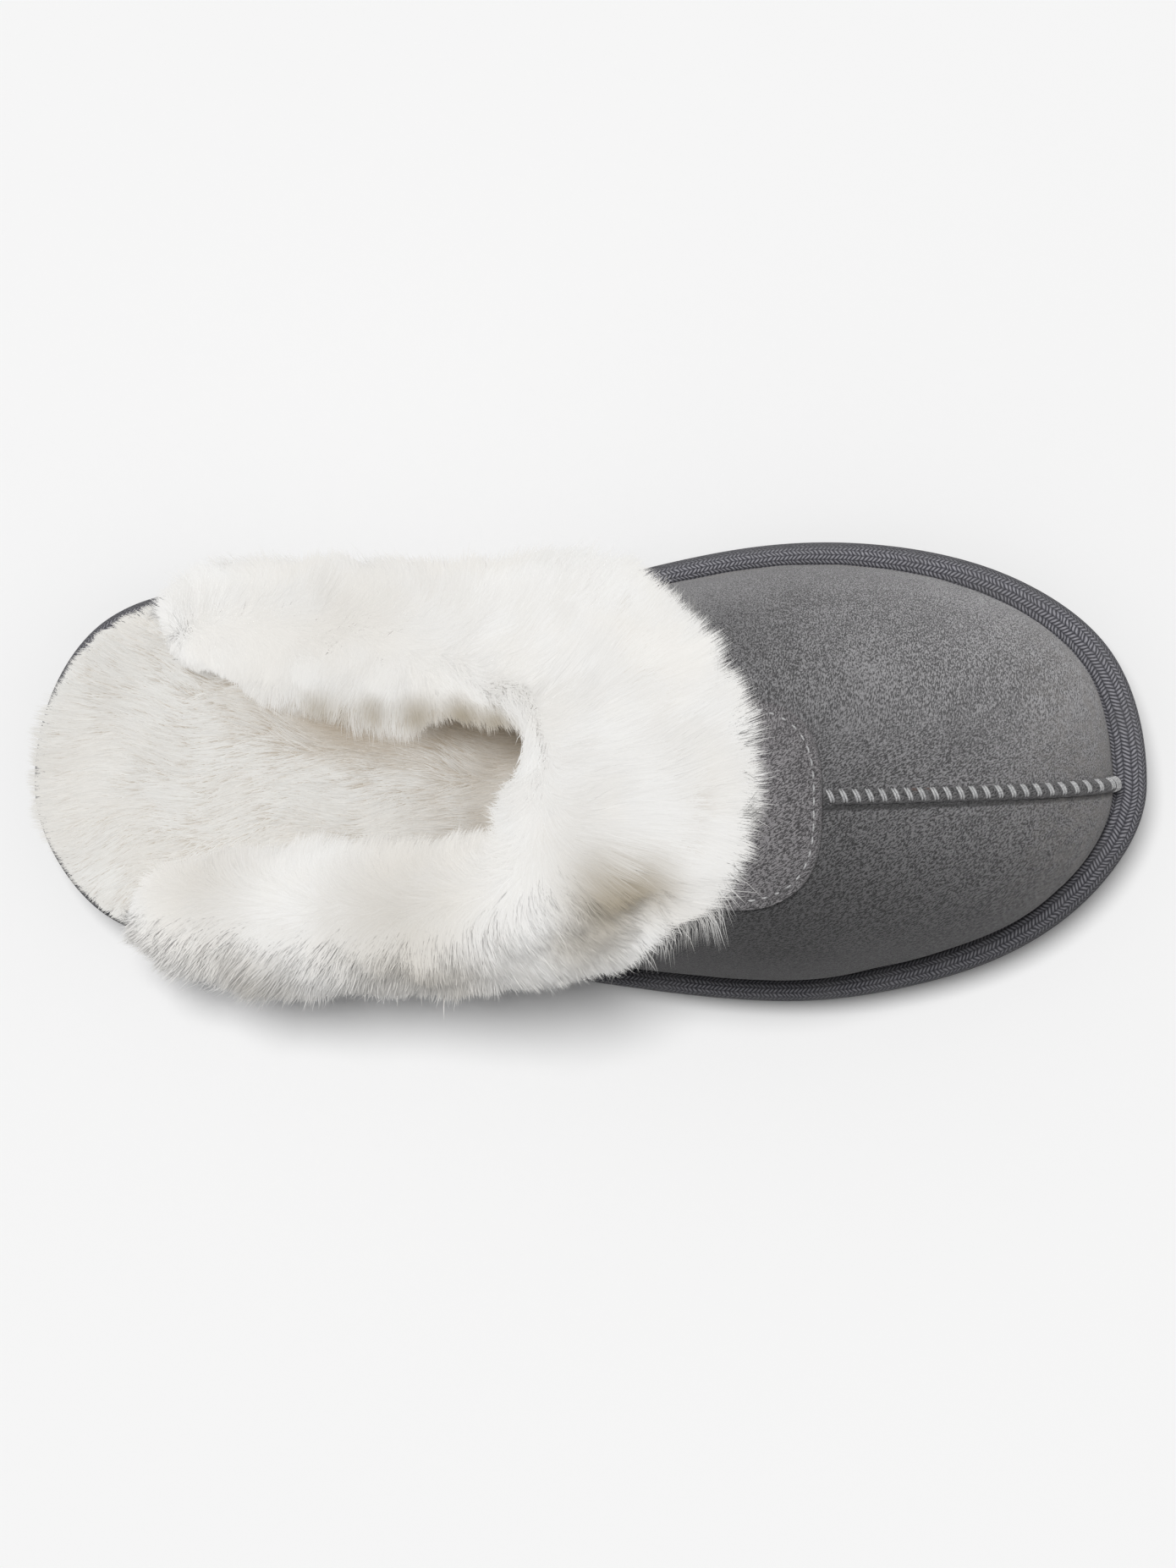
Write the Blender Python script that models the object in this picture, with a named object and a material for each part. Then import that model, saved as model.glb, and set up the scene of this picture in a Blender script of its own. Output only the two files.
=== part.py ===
"""Fuzzy scuff slipper for the right foot: a suede upper and a deep fur cuff on a tape-wrapped sole.

Everything is worked out from one last. X runs from heel to toe, +Y is the medial side and +Z is up. The
last's own origin is on the floor under the back of the heel, and Y = 0 is the line of the centre seam.
"""

import math

import bmesh
import bpy
import numpy as np

# Driving dimensions, in metres
LENGTH = 0.260          # over the wrapped sole, heel back to toe tip
BALL_WIDTH = 0.1076     # over the wrapped sole, at the ball of the foot
INSTEP_RISE = 0.060     # highest point of the suede over the platform, at the throat
GAP = 0.0003            # clearance between pieces that meet

# Sole
HEEL_STACK = 0.0250     # floor to platform under the heel
BALL_STACK = 0.0210     # floor to platform under the ball
STACK_FROM, STACK_TO = 0.20, 0.66   # stations between which the one comes down to the other
MIDSOLE_SHARE = 0.60    # wrapped midsole's share of the stack
TOE_SPRING = 0.0075     # lift of the sole at the toe tip
TOE_SPRING_FROM = 0.76
HEEL_LIFT = 0.0020      # lift of the sole at the heel's back edge
HEEL_LIFT_TO = 0.05
ARCH_RISE = 0.0022      # hollow under the waist
ARCH_FROM, ARCH_TO = 0.30, 0.56
OUTSOLE_INSET = 0.0012  # the rubber stands back from the wrapped edge
GROOVE_WIDTH = 0.0024
GROOVE_DEPTH = 0.0016
GROOVE_PITCH = 0.0110
TREAD_ZONES = ((0.070, 0.285), (0.575, 0.755))   # stations of the heel's and the forefoot's grooves

# Rims of the sole's layers, each from its lower point to its upper one
OUTSOLE_EDGE = (
    # inset, lift over the underside
    (0.0030, 0.0000),
    (0.0008, 0.0010),
    (0.0000, 0.0028),
)
TAPE_LOWER_EDGE = (
    # inset, lift over the midsole's underside
    (0.0022, 0.0000),
    (0.0006, 0.0008),
    (0.0000, 0.0026),
)
TAPE_UPPER_EDGE = (
    # inset, lift over the platform
    (0.0000, -0.0040),
    (0.0007, -0.0019),
    (0.0022, -0.0005),
    (0.0044, 0.0000),
)
PILE_LOWER_EDGE = (
    # inset, lift over the insole's underside
    (0.0012, 0.0000),
    (0.0000, 0.0016),
)
PILE_UPPER_EDGE = (
    # inset, lift over the insole's top
    (0.0003, -0.0022),
    (0.0022, 0.0000),
)

# Upper
WALL = 0.0026           # suede with its backing
FULLNESS = 2.35         # exponent of the section's superellipse, 2 being an ellipse
BULGE = 0.0030          # how far the side wall swells out above the feather line
THROAT = 0.492          # station of the upper's edge on the centre seam
MEDIAL, LATERAL = 1, -1
REAR = {MEDIAL: 0.127, LATERAL: 0.096}   # stations where the side walls end
EDGE_RADIUS = 0.030     # rough radius of the side walls' section, which turns a margin into a climb

# Overlays on the vamp
PATCH_BACK = 0.156
PATCH_FRONT = 0.1818
PATCH_HALF_WIDTH = 0.0238
PATCH_CENTRE_Y = -0.0005
PATCH_ROUNDNESS = 2.6
PATCH_SIDE = 0.30       # share of the patch's length that its two sides keep
PATCH_THICKNESS = 0.0013
PATCH_LIFT = 2 * GAP
SEAM_FROM = 0.1826
SEAM_WIDTH = 0.0036
SEAM_HEIGHT = 0.0024
SEAM_LIFT = 1.3 * GAP
SEAM_FLATNESS = 0.8     # below 1, the bead's top is flatter than an ellipse
SEAM_TOE_ANGLE = 0.14   # the bead stops this far short of the toe's tip

# Fur
CUFF_OUT = 0.0152       # cuff's thickness outside the suede
CUFF_OVER = 0.0112      # and beyond the suede's edge
CUFF_IN = 0.0096        # and inside the suede
CUFF_HEM = 0.0075       # and at the outer hem
CUFF_IN_TAPER = 0.55    # share of the inner thickness lost at the inner hem
CUFF_ROUNDNESS = 2.2    # how long the cuff keeps its thickness before it thins towards the hem
LOCK_RISE = 0.0042      # how far a lock of fur stands out of the cuff
LOCK_LEAN = 0.0050      # how far its tip is combed towards the hem
LOCK_SIZES = (0.55, 1.0)
LOCK_STEEPNESS = 0.70   # most rise, as a share of the lock's own width
LOCK_SLANT = 0.45       # most lean, as a share of the lock's own length
PILE_RISE = 0.0011      # height and lean of the footbed's low locks
PILE_SIZES = (0.4, 1.0)
INSOLE_THICKNESS = 0.0062
INSOLE_CLEARANCE = 0.0009
HEEL_PILE_INSET = 0.0010   # the heel's pile reaches almost to the sole's edge
PILE_DRAWS_IN = (0.040, 0.014)   # from and to this far behind the side walls' ends, in stations

# Facets
END_ANGLE = 0.012       # the sole's lofts stop this close to the heel's back and the toe's tip
SOLE_SECTIONS = 44
PILE_SECTIONS, PILE_COLUMNS = 30, 5
REAR_SECTIONS, FRONT_SECTIONS, WALL_ROWS = 13, 22, 9
REAR_CROWDING = 1.7     # above 1, the rear sections crowd towards the throat
PATCH_COLUMNS, PATCH_ROWS = 12, 5
SEAM_SECTIONS, SEAM_ARC = 22, 7
CUFF_SECTIONS_A_SIDE = 22
OUTER_WAYS = np.linspace(1, 0, 8)
FOLD_TURNS = np.radians((25, 50, 75, 100, 125, 150))
INNER_WAYS = np.linspace(0, 1, 5)
CORE_POINTS = 5         # of the cuff's section inside the suede's wall, where the wall cuts it away

# Half widths of the wrapped sole from the seam line, as shares of half the ball width
SOLE_OUTLINE = (
    # station, medial, lateral
    (0.000, 0.000, 0.000),
    (0.020, 0.440, 0.342),
    (0.060, 0.693, 0.569),
    (0.125, 0.822, 0.695),
    (0.220, 0.853, 0.757),
    (0.310, 0.820, 0.779),
    (0.400, 0.794, 0.812),
    (0.480, 0.848, 0.862),
    (0.560, 0.939, 0.918),
    (0.650, 1.022, 0.961),
    (0.710, 1.041, 0.959),
    (0.780, 1.020, 0.909),
    (0.860, 0.931, 0.792),
    (0.930, 0.756, 0.589),
    (0.975, 0.519, 0.348),
    (1.000, 0.000, 0.000),
)

# Height of the suede's ridge over the platform, as a share of INSTEP_RISE, and the ledge left outside it
UPPER_SECTIONS = (
    # station, rise, ledge in metres
    (0.050, 0.200, 0.0045),
    (0.127, 0.345, 0.0045),
    (0.230, 0.615, 0.0045),
    (0.346, 0.838, 0.0045),
    (0.423, 0.942, 0.0045),
    (0.492, 1.000, 0.0045),
    (0.577, 0.983, 0.0045),
    (0.650, 0.942, 0.0047),
    (0.710, 0.883, 0.0050),
    (0.780, 0.792, 0.0055),
    (0.860, 0.650, 0.0064),
    (0.930, 0.458, 0.0073),
    (0.975, 0.267, 0.0079),
    (1.000, 0.000, 0.0082),
)

# How far round its section, from feather line to ridge, the suede reaches behind the throat
TOP_LINE = (
    # metres behind the throat, climb in degrees
    (0.000, 90.0),
    (0.002, 78.0),
    (0.008, 67.0),
    (0.018, 58.0),
    (0.038, 50.0),
    (0.068, 44.0),
    (0.095, 40.0),
    (0.110, 38.5),
)

# The cuff from its rear end (0) to the throat (1): its place on the suede's edge, its hem and its reach
CUFF_SECTIONS = (
    # along, edge share, hem station, hem climb in degrees, inner reach in metres, fullness
    (0.00, 0.00, 0.115, 22.0, 0.0015, 0.46),
    (0.07, 0.08, 0.146, 16.0, 0.0025, 0.80),
    (0.15, 0.17, 0.180, 12.0, 0.0042, 0.97),
    (0.26, 0.29, 0.232, 9.0, 0.0075, 1.00),
    (0.42, 0.45, 0.305, 8.0, 0.0110, 1.00),
    (0.62, 0.66, 0.410, 8.0, 0.0140, 1.00),
    (0.76, 0.81, 0.500, 11.0, 0.0140, 1.00),
    (0.86, 0.91, 0.563, 31.0, 0.0140, 1.00),
    (0.94, 0.98, 0.609, 61.0, 0.0140, 1.00),
    (1.00, 1.00, 0.627, 90.0, 0.0140, 1.00),
)


def spline(knots, values):
    """Natural cubic curve through the knots, as a function of one number."""
    x = np.asarray(knots, float)
    y = np.asarray(values, float)
    step = np.diff(x)
    rows = np.eye(len(x))
    right = np.zeros(len(x))
    for i in range(1, len(x) - 1):
        rows[i, i - 1:i + 2] = step[i - 1], 2 * (step[i - 1] + step[i]), step[i]
        right[i] = 6 * ((y[i + 1] - y[i]) / step[i] - (y[i] - y[i - 1]) / step[i - 1])
    bend = np.linalg.solve(rows, right)

    def at(t):
        k = min(max(int(np.searchsorted(x, t)) - 1, 0), len(x) - 2)
        a = (x[k + 1] - t) / step[k]
        b = (t - x[k]) / step[k]
        curve = ((a**3 - a) * bend[k] + (b**3 - b) * bend[k + 1]) * step[k] ** 2 / 6
        return float(a * y[k] + b * y[k + 1] + curve)

    return at


def station_angle(station):
    """The angle that spaces sections closely at heel and toe: 0 at the heel's back, pi at the toe tip."""
    return math.acos(1 - 2 * min(max(station, 0.0), 1.0))


def columns(table):
    return list(zip(*table))


def table_curves(table, knot_of):
    """A curve for each column of a table after its first, over knot_of(first column)."""
    first, *rest = columns(table)
    knots = [knot_of(value) for value in first]
    return [spline(knots, column) for column in rest]


def smoothstep(start, end, value):
    t = min(max((value - start) / (end - start), 0.0), 1.0)
    return t * t * (3 - 2 * t)


outline_medial, outline_lateral = table_curves(SOLE_OUTLINE, station_angle)
ridge_rise, feather_ledge = table_curves(UPPER_SECTIONS, station_angle)
(edge_climb,) = table_curves(TOP_LINE, math.sqrt)
cuff_edge, cuff_hem_station, cuff_hem_climb, cuff_reach, cuff_fullness = table_curves(CUFF_SECTIONS, float)


# The last: outline, heights of the sole, and the upper's surface

def half_width(side, angle):
    share = outline_medial(angle) if side == MEDIAL else outline_lateral(angle)
    return share * BALL_WIDTH / 2


def outline_point(side, angle, inset):
    """A point of the sole's outline in plan, moved in along the outline's normal."""
    small = 1e-4
    x = LENGTH * (1 - math.cos(angle)) / 2
    dx = LENGTH * math.sin(angle) / 2
    dy = side * (half_width(side, angle + small) - half_width(side, angle - small)) / (2 * small)
    length = math.hypot(dx, dy)
    return x + inset * side * dy / length, side * half_width(side, angle) - inset * side * dx / length


def floor_curve(x):
    """Height of the sole's underside with its toe spring and heel lift, before the arch is hollowed."""
    station = x / LENGTH
    toe = max(0.0, station - TOE_SPRING_FROM) / (1 - TOE_SPRING_FROM)
    heel = max(0.0, HEEL_LIFT_TO - station) / HEEL_LIFT_TO
    return TOE_SPRING * toe**2 + HEEL_LIFT * heel**2


def stack(x):
    return HEEL_STACK + (BALL_STACK - HEEL_STACK) * smoothstep(STACK_FROM, STACK_TO, x / LENGTH)


def sole_bottom(x):
    share = (x / LENGTH - ARCH_FROM) / (ARCH_TO - ARCH_FROM)
    arch = ARCH_RISE * math.sin(math.pi * share) ** 2 if 0 < share < 1 else 0.0
    return floor_curve(x) + arch


def outsole_top(x):
    return floor_curve(x) + stack(x) * (1 - MIDSOLE_SHARE)


def platform(x):
    return floor_curve(x) + stack(x)


def upper_point(side, angle, climb, depth=0.0):
    """A point of the upper: climb is 0 at the feather line and pi/2 at the ridge, depth is into the wall."""
    inset = feather_ledge(angle) + depth
    foot_x, foot_y = outline_point(side, angle, inset)
    ridge_x = (foot_x + outline_point(-side, angle, inset)[0]) / 2
    across = max(math.cos(climb), 0.0) ** (2 / FULLNESS)
    up = math.sin(climb) ** (2 / FULLNESS)
    rise = ridge_rise(angle) * INSTEP_RISE
    rise = rise - depth if depth <= 0 else rise * rise / (rise + depth)
    swell = BULGE * min(1.0, 2 * rise / INSTEP_RISE) * math.sin(2 * climb) * math.cos(climb)
    x = ridge_x + (foot_x - ridge_x) * across
    return np.array((x, foot_y * across + side * swell, platform(x) + GAP + rise * up))


def upper_normal(side, angle, climb):
    """Outward unit normal of the upper."""
    small = 1e-3
    climb = min(max(climb, 2 * small), math.pi / 2 - 2 * small)
    along = upper_point(side, angle + small, climb) - upper_point(side, angle - small, climb)
    upward = upper_point(side, angle, climb + small) - upper_point(side, angle, climb - small)
    normal = np.cross(along, upward) * -side
    return normal / np.linalg.norm(normal)


def top_climb(station):
    """How far round the section the suede reaches: to the ridge before the throat, to its edge behind it."""
    if station >= THROAT:
        return math.pi / 2
    return math.radians(edge_climb(math.sqrt((THROAT - station) * LENGTH)))


def on_upper(x, y, lift):
    """The point above or below (x, y) in plan on the vamp, lifted along its normal."""
    side = MEDIAL if y >= 0 else LATERAL
    small = 1e-4
    station_limits = 0.3, 0.995
    climb_limits = 0.05, math.pi / 2 - 2 * small
    station = x / LENGTH
    climb = math.radians(70)
    for _ in range(12):
        here = upper_point(side, station_angle(station), climb)
        by_station = (upper_point(side, station_angle(station + small), climb) - here) / small
        by_climb = (upper_point(side, station_angle(station), climb + small) - here) / small
        slopes = np.array(((by_station[0], by_climb[0]), (by_station[1], by_climb[1])))
        move = np.linalg.lstsq(slopes, np.array((x, y)) - here[:2], rcond=None)[0]
        station = float(np.clip(station + move[0], *station_limits))
        climb = float(np.clip(climb + move[1], *climb_limits))
    angle = station_angle(station)
    return upper_point(side, angle, climb) + lift * upper_normal(side, angle, climb)


# Solids

def new_object(name, points, faces, material, parent):
    mesh = bpy.data.meshes.new(name)
    mesh.from_pydata([tuple(p) for p in points], [], faces)
    work = bmesh.new()
    work.from_mesh(mesh)
    bmesh.ops.triangulate(work, faces=work.faces, quad_method="SHORT_EDGE")
    bmesh.ops.recalc_face_normals(work, faces=work.faces)
    if work.calc_volume(signed=True) < 0:
        bmesh.ops.reverse_faces(work, faces=work.faces)
    work.to_mesh(mesh)
    work.free()
    mesh.shade_smooth()
    mesh.set_sharp_from_angle(angle=math.radians(40))
    mesh.materials.append(material)
    obj = bpy.data.objects.new(name, mesh)
    obj.parent = parent
    bpy.context.scene.collection.objects.link(obj)
    return obj


def shell(name, outer, inner, faces, material, parent):
    """A closed solid between two matching sheets: the inner one faces back, and a rim joins their borders."""
    count = len(outer)
    used = {}
    for face in faces:
        for a, b in zip(face, face[1:] + face[:1]):
            used[frozenset((a, b))] = None if frozenset((a, b)) in used else (a, b)
    rim = [(b, a, a + count, b + count) for a, b in filter(None, used.values())]
    back = [tuple(v + count for v in reversed(face)) for face in faces]
    return new_object(name, list(outer) + list(inner), list(faces) + back + rim, material, parent)


def loft(name, rings, material, parent, lock=None):
    """A closed solid through closed rings. lock(i, j, corners) may give a face a raised tip of fur."""
    size = len(rings[0])
    points = [p for ring in rings for p in ring]
    faces = [tuple(range(size)), tuple(range(len(points) - size, len(points)))]
    for i in range(len(rings) - 1):
        for j in range(size):
            k = (j + 1) % size
            corners = (i * size + j, i * size + k, (i + 1) * size + k, (i + 1) * size + j)
            tip = lock(i, j, [points[c] for c in corners]) if lock else None
            if tip is None:
                faces.append(corners)
                continue
            points.append(tip)
            apex = len(points) - 1
            faces.extend((a, b, apex) for a, b in zip(corners, corners[1:] + corners[:1]))
    return new_object(name, points, faces, material, parent)


def as_cutter(obj):
    obj.hide_render = True
    obj.display_type = "WIRE"
    return obj


def cut_with(obj, cutter):
    cut = obj.modifiers.new(cutter.name, "BOOLEAN")
    cut.operation = "DIFFERENCE"
    cut.object = cutter


def lock_tip(corners, comb, rise, lean, size):
    """Tip of a lock of fur on a face: raised along the normal and combed, within what the face can carry."""
    normal = np.cross(corners[2] - corners[0], corners[3] - corners[1])
    doubled_area = np.linalg.norm(normal)
    along = comb / np.linalg.norm(comb)
    span = max(abs(np.dot(corners[a] - corners[b], along)) for a, b in ((0, 1), (1, 2), (2, 3), (3, 0)))
    rise = min(rise, LOCK_STEEPNESS * math.sqrt(doubled_area / 2)) * size
    lean = min(lean, LOCK_SLANT * span) * size
    return sum(corners) / 4 + normal / doubled_area * rise + along * lean


def slab_rings(angles, edge, across):
    """Rings of a flat-lying slab. edge is its rim, bottom to top, as pairs of functions: inset and height."""
    rings = []
    for angle in angles:
        sides = {}
        for side in (LATERAL, MEDIAL):
            sides[side] = []
            for inset, height in edge:
                x, y = outline_point(side, angle, inset(side, angle))
                sides[side].append(np.array((x, y, height(x))))
        top_row = cross_row(sides[LATERAL][-1], sides[MEDIAL][-1], edge[-1][1], across)
        bottom_row = cross_row(sides[MEDIAL][0], sides[LATERAL][0], edge[0][1], across)
        rings.append(sides[LATERAL] + top_row + sides[MEDIAL][::-1] + bottom_row)
    return rings


def cross_row(start, end, height, count):
    """Points between two rim points, at the slab's own height."""
    row = []
    for share in np.linspace(0, 1, count + 2)[1:-1]:
        p = start + (end - start) * share
        row.append(np.array((p[0], p[1], height(p[0]))))
    return row


def constant(value):
    return lambda side, angle: value


def moved_in(inset, more):
    return lambda side, angle: inset(side, angle) + more


def raised(height, lift):
    return lambda x: height(x) + lift


def rim(table, inset, height):
    """Rim points for slab_rings, from a table of insets and lifts beyond a slab's own inset and height."""
    return [(moved_in(inset, more), raised(height, lift)) for more, lift in table]


def material(name, colour, roughness):
    made = bpy.data.materials.new(name)
    made.use_nodes = True
    shader = made.node_tree.nodes["Principled BSDF"]
    shader.inputs["Base Color"].default_value = (*colour, 1.0)
    shader.inputs["Roughness"].default_value = roughness
    shader.inputs["Metallic"].default_value = 0.0
    return made


def sole_angles(count):
    """Section angles from the toe back to the heel."""
    return np.linspace(math.pi - END_ANGLE, END_ANGLE, count)


def build_outsole(parent):
    """Rubber outsole with a rounded lower edge, cut across by tread grooves in the heel and forefoot."""
    rubber = material("outsole_rubber", (0.055, 0.055, 0.060), 0.75)
    inset = constant(OUTSOLE_INSET)
    edge = rim(OUTSOLE_EDGE, inset, sole_bottom) + [(inset, outsole_top)]
    obj = loft("outsole", slab_rings(sole_angles(SOLE_SECTIONS), edge, 2), rubber, parent)
    cut_with(obj, groove_cutter(parent))
    return obj


def groove_cutter(parent):
    """Bars across the tread zones, one for each groove."""
    work = bmesh.new()
    for start, end in TREAD_ZONES:
        count = int((end - start) * LENGTH / GROOVE_PITCH) + 1
        for n in range(count):
            made = bmesh.ops.create_cube(work, size=1.0)["verts"]
            bmesh.ops.scale(work, vec=(GROOVE_WIDTH, 2 * BALL_WIDTH, 2 * GROOVE_DEPTH), verts=made)
            bmesh.ops.translate(work, vec=(start * LENGTH + n * GROOVE_PITCH, 0, 0), verts=made)
    mesh = bpy.data.meshes.new("tread_grooves")
    work.to_mesh(mesh)
    work.free()
    cutter = bpy.data.objects.new("tread_grooves", mesh)
    cutter.parent = parent
    bpy.context.scene.collection.objects.link(cutter)
    return as_cutter(cutter)


def build_midsole(parent):
    """Platform wrapped in woven tape: a rounded rim whose top ledge shows outside the upper."""
    tape = material("woven_tape", (0.085, 0.085, 0.095), 0.85)
    edge = rim(TAPE_LOWER_EDGE, constant(0.0), raised(outsole_top, GAP))
    edge += rim(TAPE_UPPER_EDGE, constant(0.0), platform)
    return loft("wrapped_midsole", slab_rings(sole_angles(SOLE_SECTIONS), edge, 1), tape, parent)


def insole_inset(side, angle):
    """Inside the upper's wall from its rear ends forward, and out to the sole's edge behind them."""
    station = (1 - math.cos(angle)) / 2
    inside = feather_ledge(angle) + WALL + INSOLE_CLEARANCE
    start, end = (REAR[side] - behind for behind in PILE_DRAWS_IN)
    return HEEL_PILE_INSET + (inside - HEEL_PILE_INSET) * smoothstep(start, end, station)


def build_insole(parent):
    """Fur footbed. Its pile is a field of low locks combed towards the heel."""
    pile = material("footbed_fur", (0.86, 0.84, 0.80), 0.9)
    random = np.random.default_rng(3)
    edge = rim(PILE_LOWER_EDGE, insole_inset, raised(platform, GAP))
    edge += rim(PILE_UPPER_EDGE, insole_inset, raised(platform, GAP + INSOLE_THICKNESS))
    top_from = len(edge) - 1
    top_to = top_from + PILE_COLUMNS
    towards_heel = np.array((-1.0, 0.0, 0.0))

    def lock(i, j, corners):
        if not top_from <= j <= top_to:
            return None
        return lock_tip(corners, towards_heel, PILE_RISE, PILE_RISE, random.uniform(*PILE_SIZES))

    return loft("insole", slab_rings(sole_angles(PILE_SECTIONS), edge, PILE_COLUMNS), pile, parent, lock)


def upper_stations():
    """Places of the upper's sections: shares of the way back from the throat, then angles on to the toe."""
    behind = (1 - np.linspace(0, 1, REAR_SECTIONS)) ** REAR_CROWDING
    front = np.linspace(station_angle(THROAT), math.pi, FRONT_SECTIONS)
    return behind, front


def upper_sheets(outer_depth, inner_depth, margin):
    """Outer and inner sheets of the upper's wall with their faces, grown by a margin behind the throat."""
    rows = WALL_ROWS
    behind, front = upper_stations()
    throat = len(behind) - 1
    tip = throat + len(front) - 1
    places = []
    index = {}

    def place(side, i, j):
        if i > throat:
            return side, front[i - throat], math.pi / 2 * j / (rows - 1)
        station = THROAT - (THROAT - REAR[side]) * behind[i]
        top = min(top_climb(station) + margin / EDGE_RADIUS, math.pi / 2)
        return side, station_angle(station - margin / LENGTH), top * j / (rows - 1)

    def vertex(side, i, j):
        """Index of the vertex at section i, row j. Both sides share the ridge and the toe tip."""
        ridge = j == rows - 1 and i >= throat
        key = (tip,) if i == tip else (i, j, 0 if ridge else side)
        if key not in index:
            index[key] = len(places)
            places.append(place(side, i, j))
        return index[key]

    faces = []
    for side in (LATERAL, MEDIAL):
        for i in range(tip):
            for j in range(rows - 1):
                corners = ((i, j), (i + 1, j), (i + 1, j + 1), (i, j + 1))
                face = tuple(dict.fromkeys(vertex(side, *corner) for corner in corners))
                faces.append(face if side == LATERAL else face[::-1])
    faces = [face for face in faces if len(face) > 2]
    outer = [upper_point(*p, depth=outer_depth) for p in places]
    inner = [upper_point(*p, depth=inner_depth) for p in places]
    return outer, inner, faces


def build_upper(parent):
    """The suede upper: one hollow wall, open underneath, at the collar and behind the side walls."""
    suede = material("suede", (0.135, 0.133, 0.136), 0.95)
    return shell("upper", *upper_sheets(0.0, WALL, 0.0), suede, parent)


def patch_sheets(top_lift, bottom_lift, margin):
    """Top and bottom sheets of the D-shaped patch with their faces, grown by a margin in plan."""
    across, along = PATCH_COLUMNS, PATCH_ROWS
    back = PATCH_BACK - margin
    length = PATCH_FRONT + margin - back
    top, bottom = [], []
    for a in np.linspace(-1, 1, across + 1):
        depth = length * max(PATCH_SIDE, (1 - abs(a) ** PATCH_ROUNDNESS) ** (1 / PATCH_ROUNDNESS))
        y = PATCH_CENTRE_Y + (PATCH_HALF_WIDTH + margin) * a
        for b in np.linspace(0, 1, along + 1):
            top.append(on_upper(back + depth * b, y, top_lift))
            bottom.append(on_upper(back + depth * b, y, bottom_lift))
    faces = []
    for i in range(across):
        for j in range(along):
            k = i * (along + 1) + j
            faces.append((k, k + along + 1, k + along + 2, k + 1))
    return top, bottom, faces


def build_patch(parent):
    """Suede patch at the throat, lying on the vamp and tucked under the cuff."""
    suede = material("patch_suede", (0.150, 0.143, 0.146), 0.95)
    return shell("throat_patch", *patch_sheets(PATCH_LIFT + PATCH_THICKNESS, PATCH_LIFT, 0.0), suede, parent)


def build_seam(parent):
    """Raised centre seam: a bead along the ridge from the patch down to the toe's ledge."""
    suede = material("seam_suede", (0.165, 0.163, 0.166), 0.95)
    rings = []
    start = station_angle(SEAM_FROM / LENGTH)
    for angle in np.linspace(start, math.pi - SEAM_TOE_ANGLE, SEAM_SECTIONS):
        normal = upper_normal(MEDIAL, angle, math.pi / 2) + upper_normal(LATERAL, angle, math.pi / 2)
        normal /= np.linalg.norm(normal)
        base = upper_point(MEDIAL, angle, math.pi / 2) + SEAM_LIFT * normal
        ring = []
        for turn in np.linspace(0, math.pi, SEAM_ARC):
            sideways = np.array((0, math.cos(turn) * SEAM_WIDTH / 2, 0))
            ring.append(base + sideways + normal * SEAM_HEIGHT * math.sin(turn) ** SEAM_FLATNESS)
        rings.append(ring)
    return loft("centre_seam", rings, suede, parent)


def cuff_frame(side, along):
    """The cuff's path at one section, as a function of the way from the suede's edge (0) to the hem (1)."""
    edge_station = REAR[side] + (THROAT - REAR[side]) * min(cuff_edge(along), 1.0)
    edge = np.array((station_angle(edge_station), top_climb(edge_station)))
    hem_station = cuff_hem_station(along) + (REAR[side] - REAR[MEDIAL]) * (1 - along)
    hem = np.array((station_angle(hem_station), math.radians(min(cuff_hem_climb(along), 90.0))))
    return lambda way: edge + (hem - edge) * way


def cuff_ring(side, along):
    """A closed section of the cuff: from its outer hem over the fold to its inner hem, and back."""
    small = 0.08
    path = cuff_frame(side, along)
    fullness = cuff_fullness(along)
    edge = upper_point(side, *path(0), depth=WALL / 2)
    normal = upper_normal(side, *path(0))
    outward = upper_point(side, *path(0)) - upper_point(side, *path(small))
    outward -= normal * outward.dot(normal)
    outward /= np.linalg.norm(outward)
    width = np.linalg.norm(upper_point(side, *path(0)) - upper_point(side, *path(1)))
    reach = cuff_reach(along) / width

    def outer_skin(way):
        thick = fullness * (CUFF_HEM + (CUFF_OUT - CUFF_HEM) * (1 - way**CUFF_ROUNDNESS))
        return upper_point(side, *path(way)) + upper_normal(side, *path(way)) * thick

    def inner_skin(way):
        thick = CUFF_IN * fullness**2 * (1 - CUFF_IN_TAPER * way**2)
        place = path(way * reach)
        return upper_point(side, *place, depth=WALL) - upper_normal(side, *place) * thick

    start = (outer_skin(0) - edge).dot(normal)
    end = (edge - inner_skin(0)).dot(normal)
    ring = [outer_skin(way) for way in OUTER_WAYS]
    for turn in FOLD_TURNS:
        side_reach = start if math.cos(turn) > 0 else end
        over = CUFF_OVER * fullness * math.sin(turn)
        ring.append(edge + normal * side_reach * math.cos(turn) + outward * over)
    ring += [inner_skin(way) for way in INNER_WAYS]
    ring += [upper_point(side, *path(way), depth=WALL / 2) for way in np.linspace(reach, 1, CORE_POINTS)]
    return ring


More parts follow.
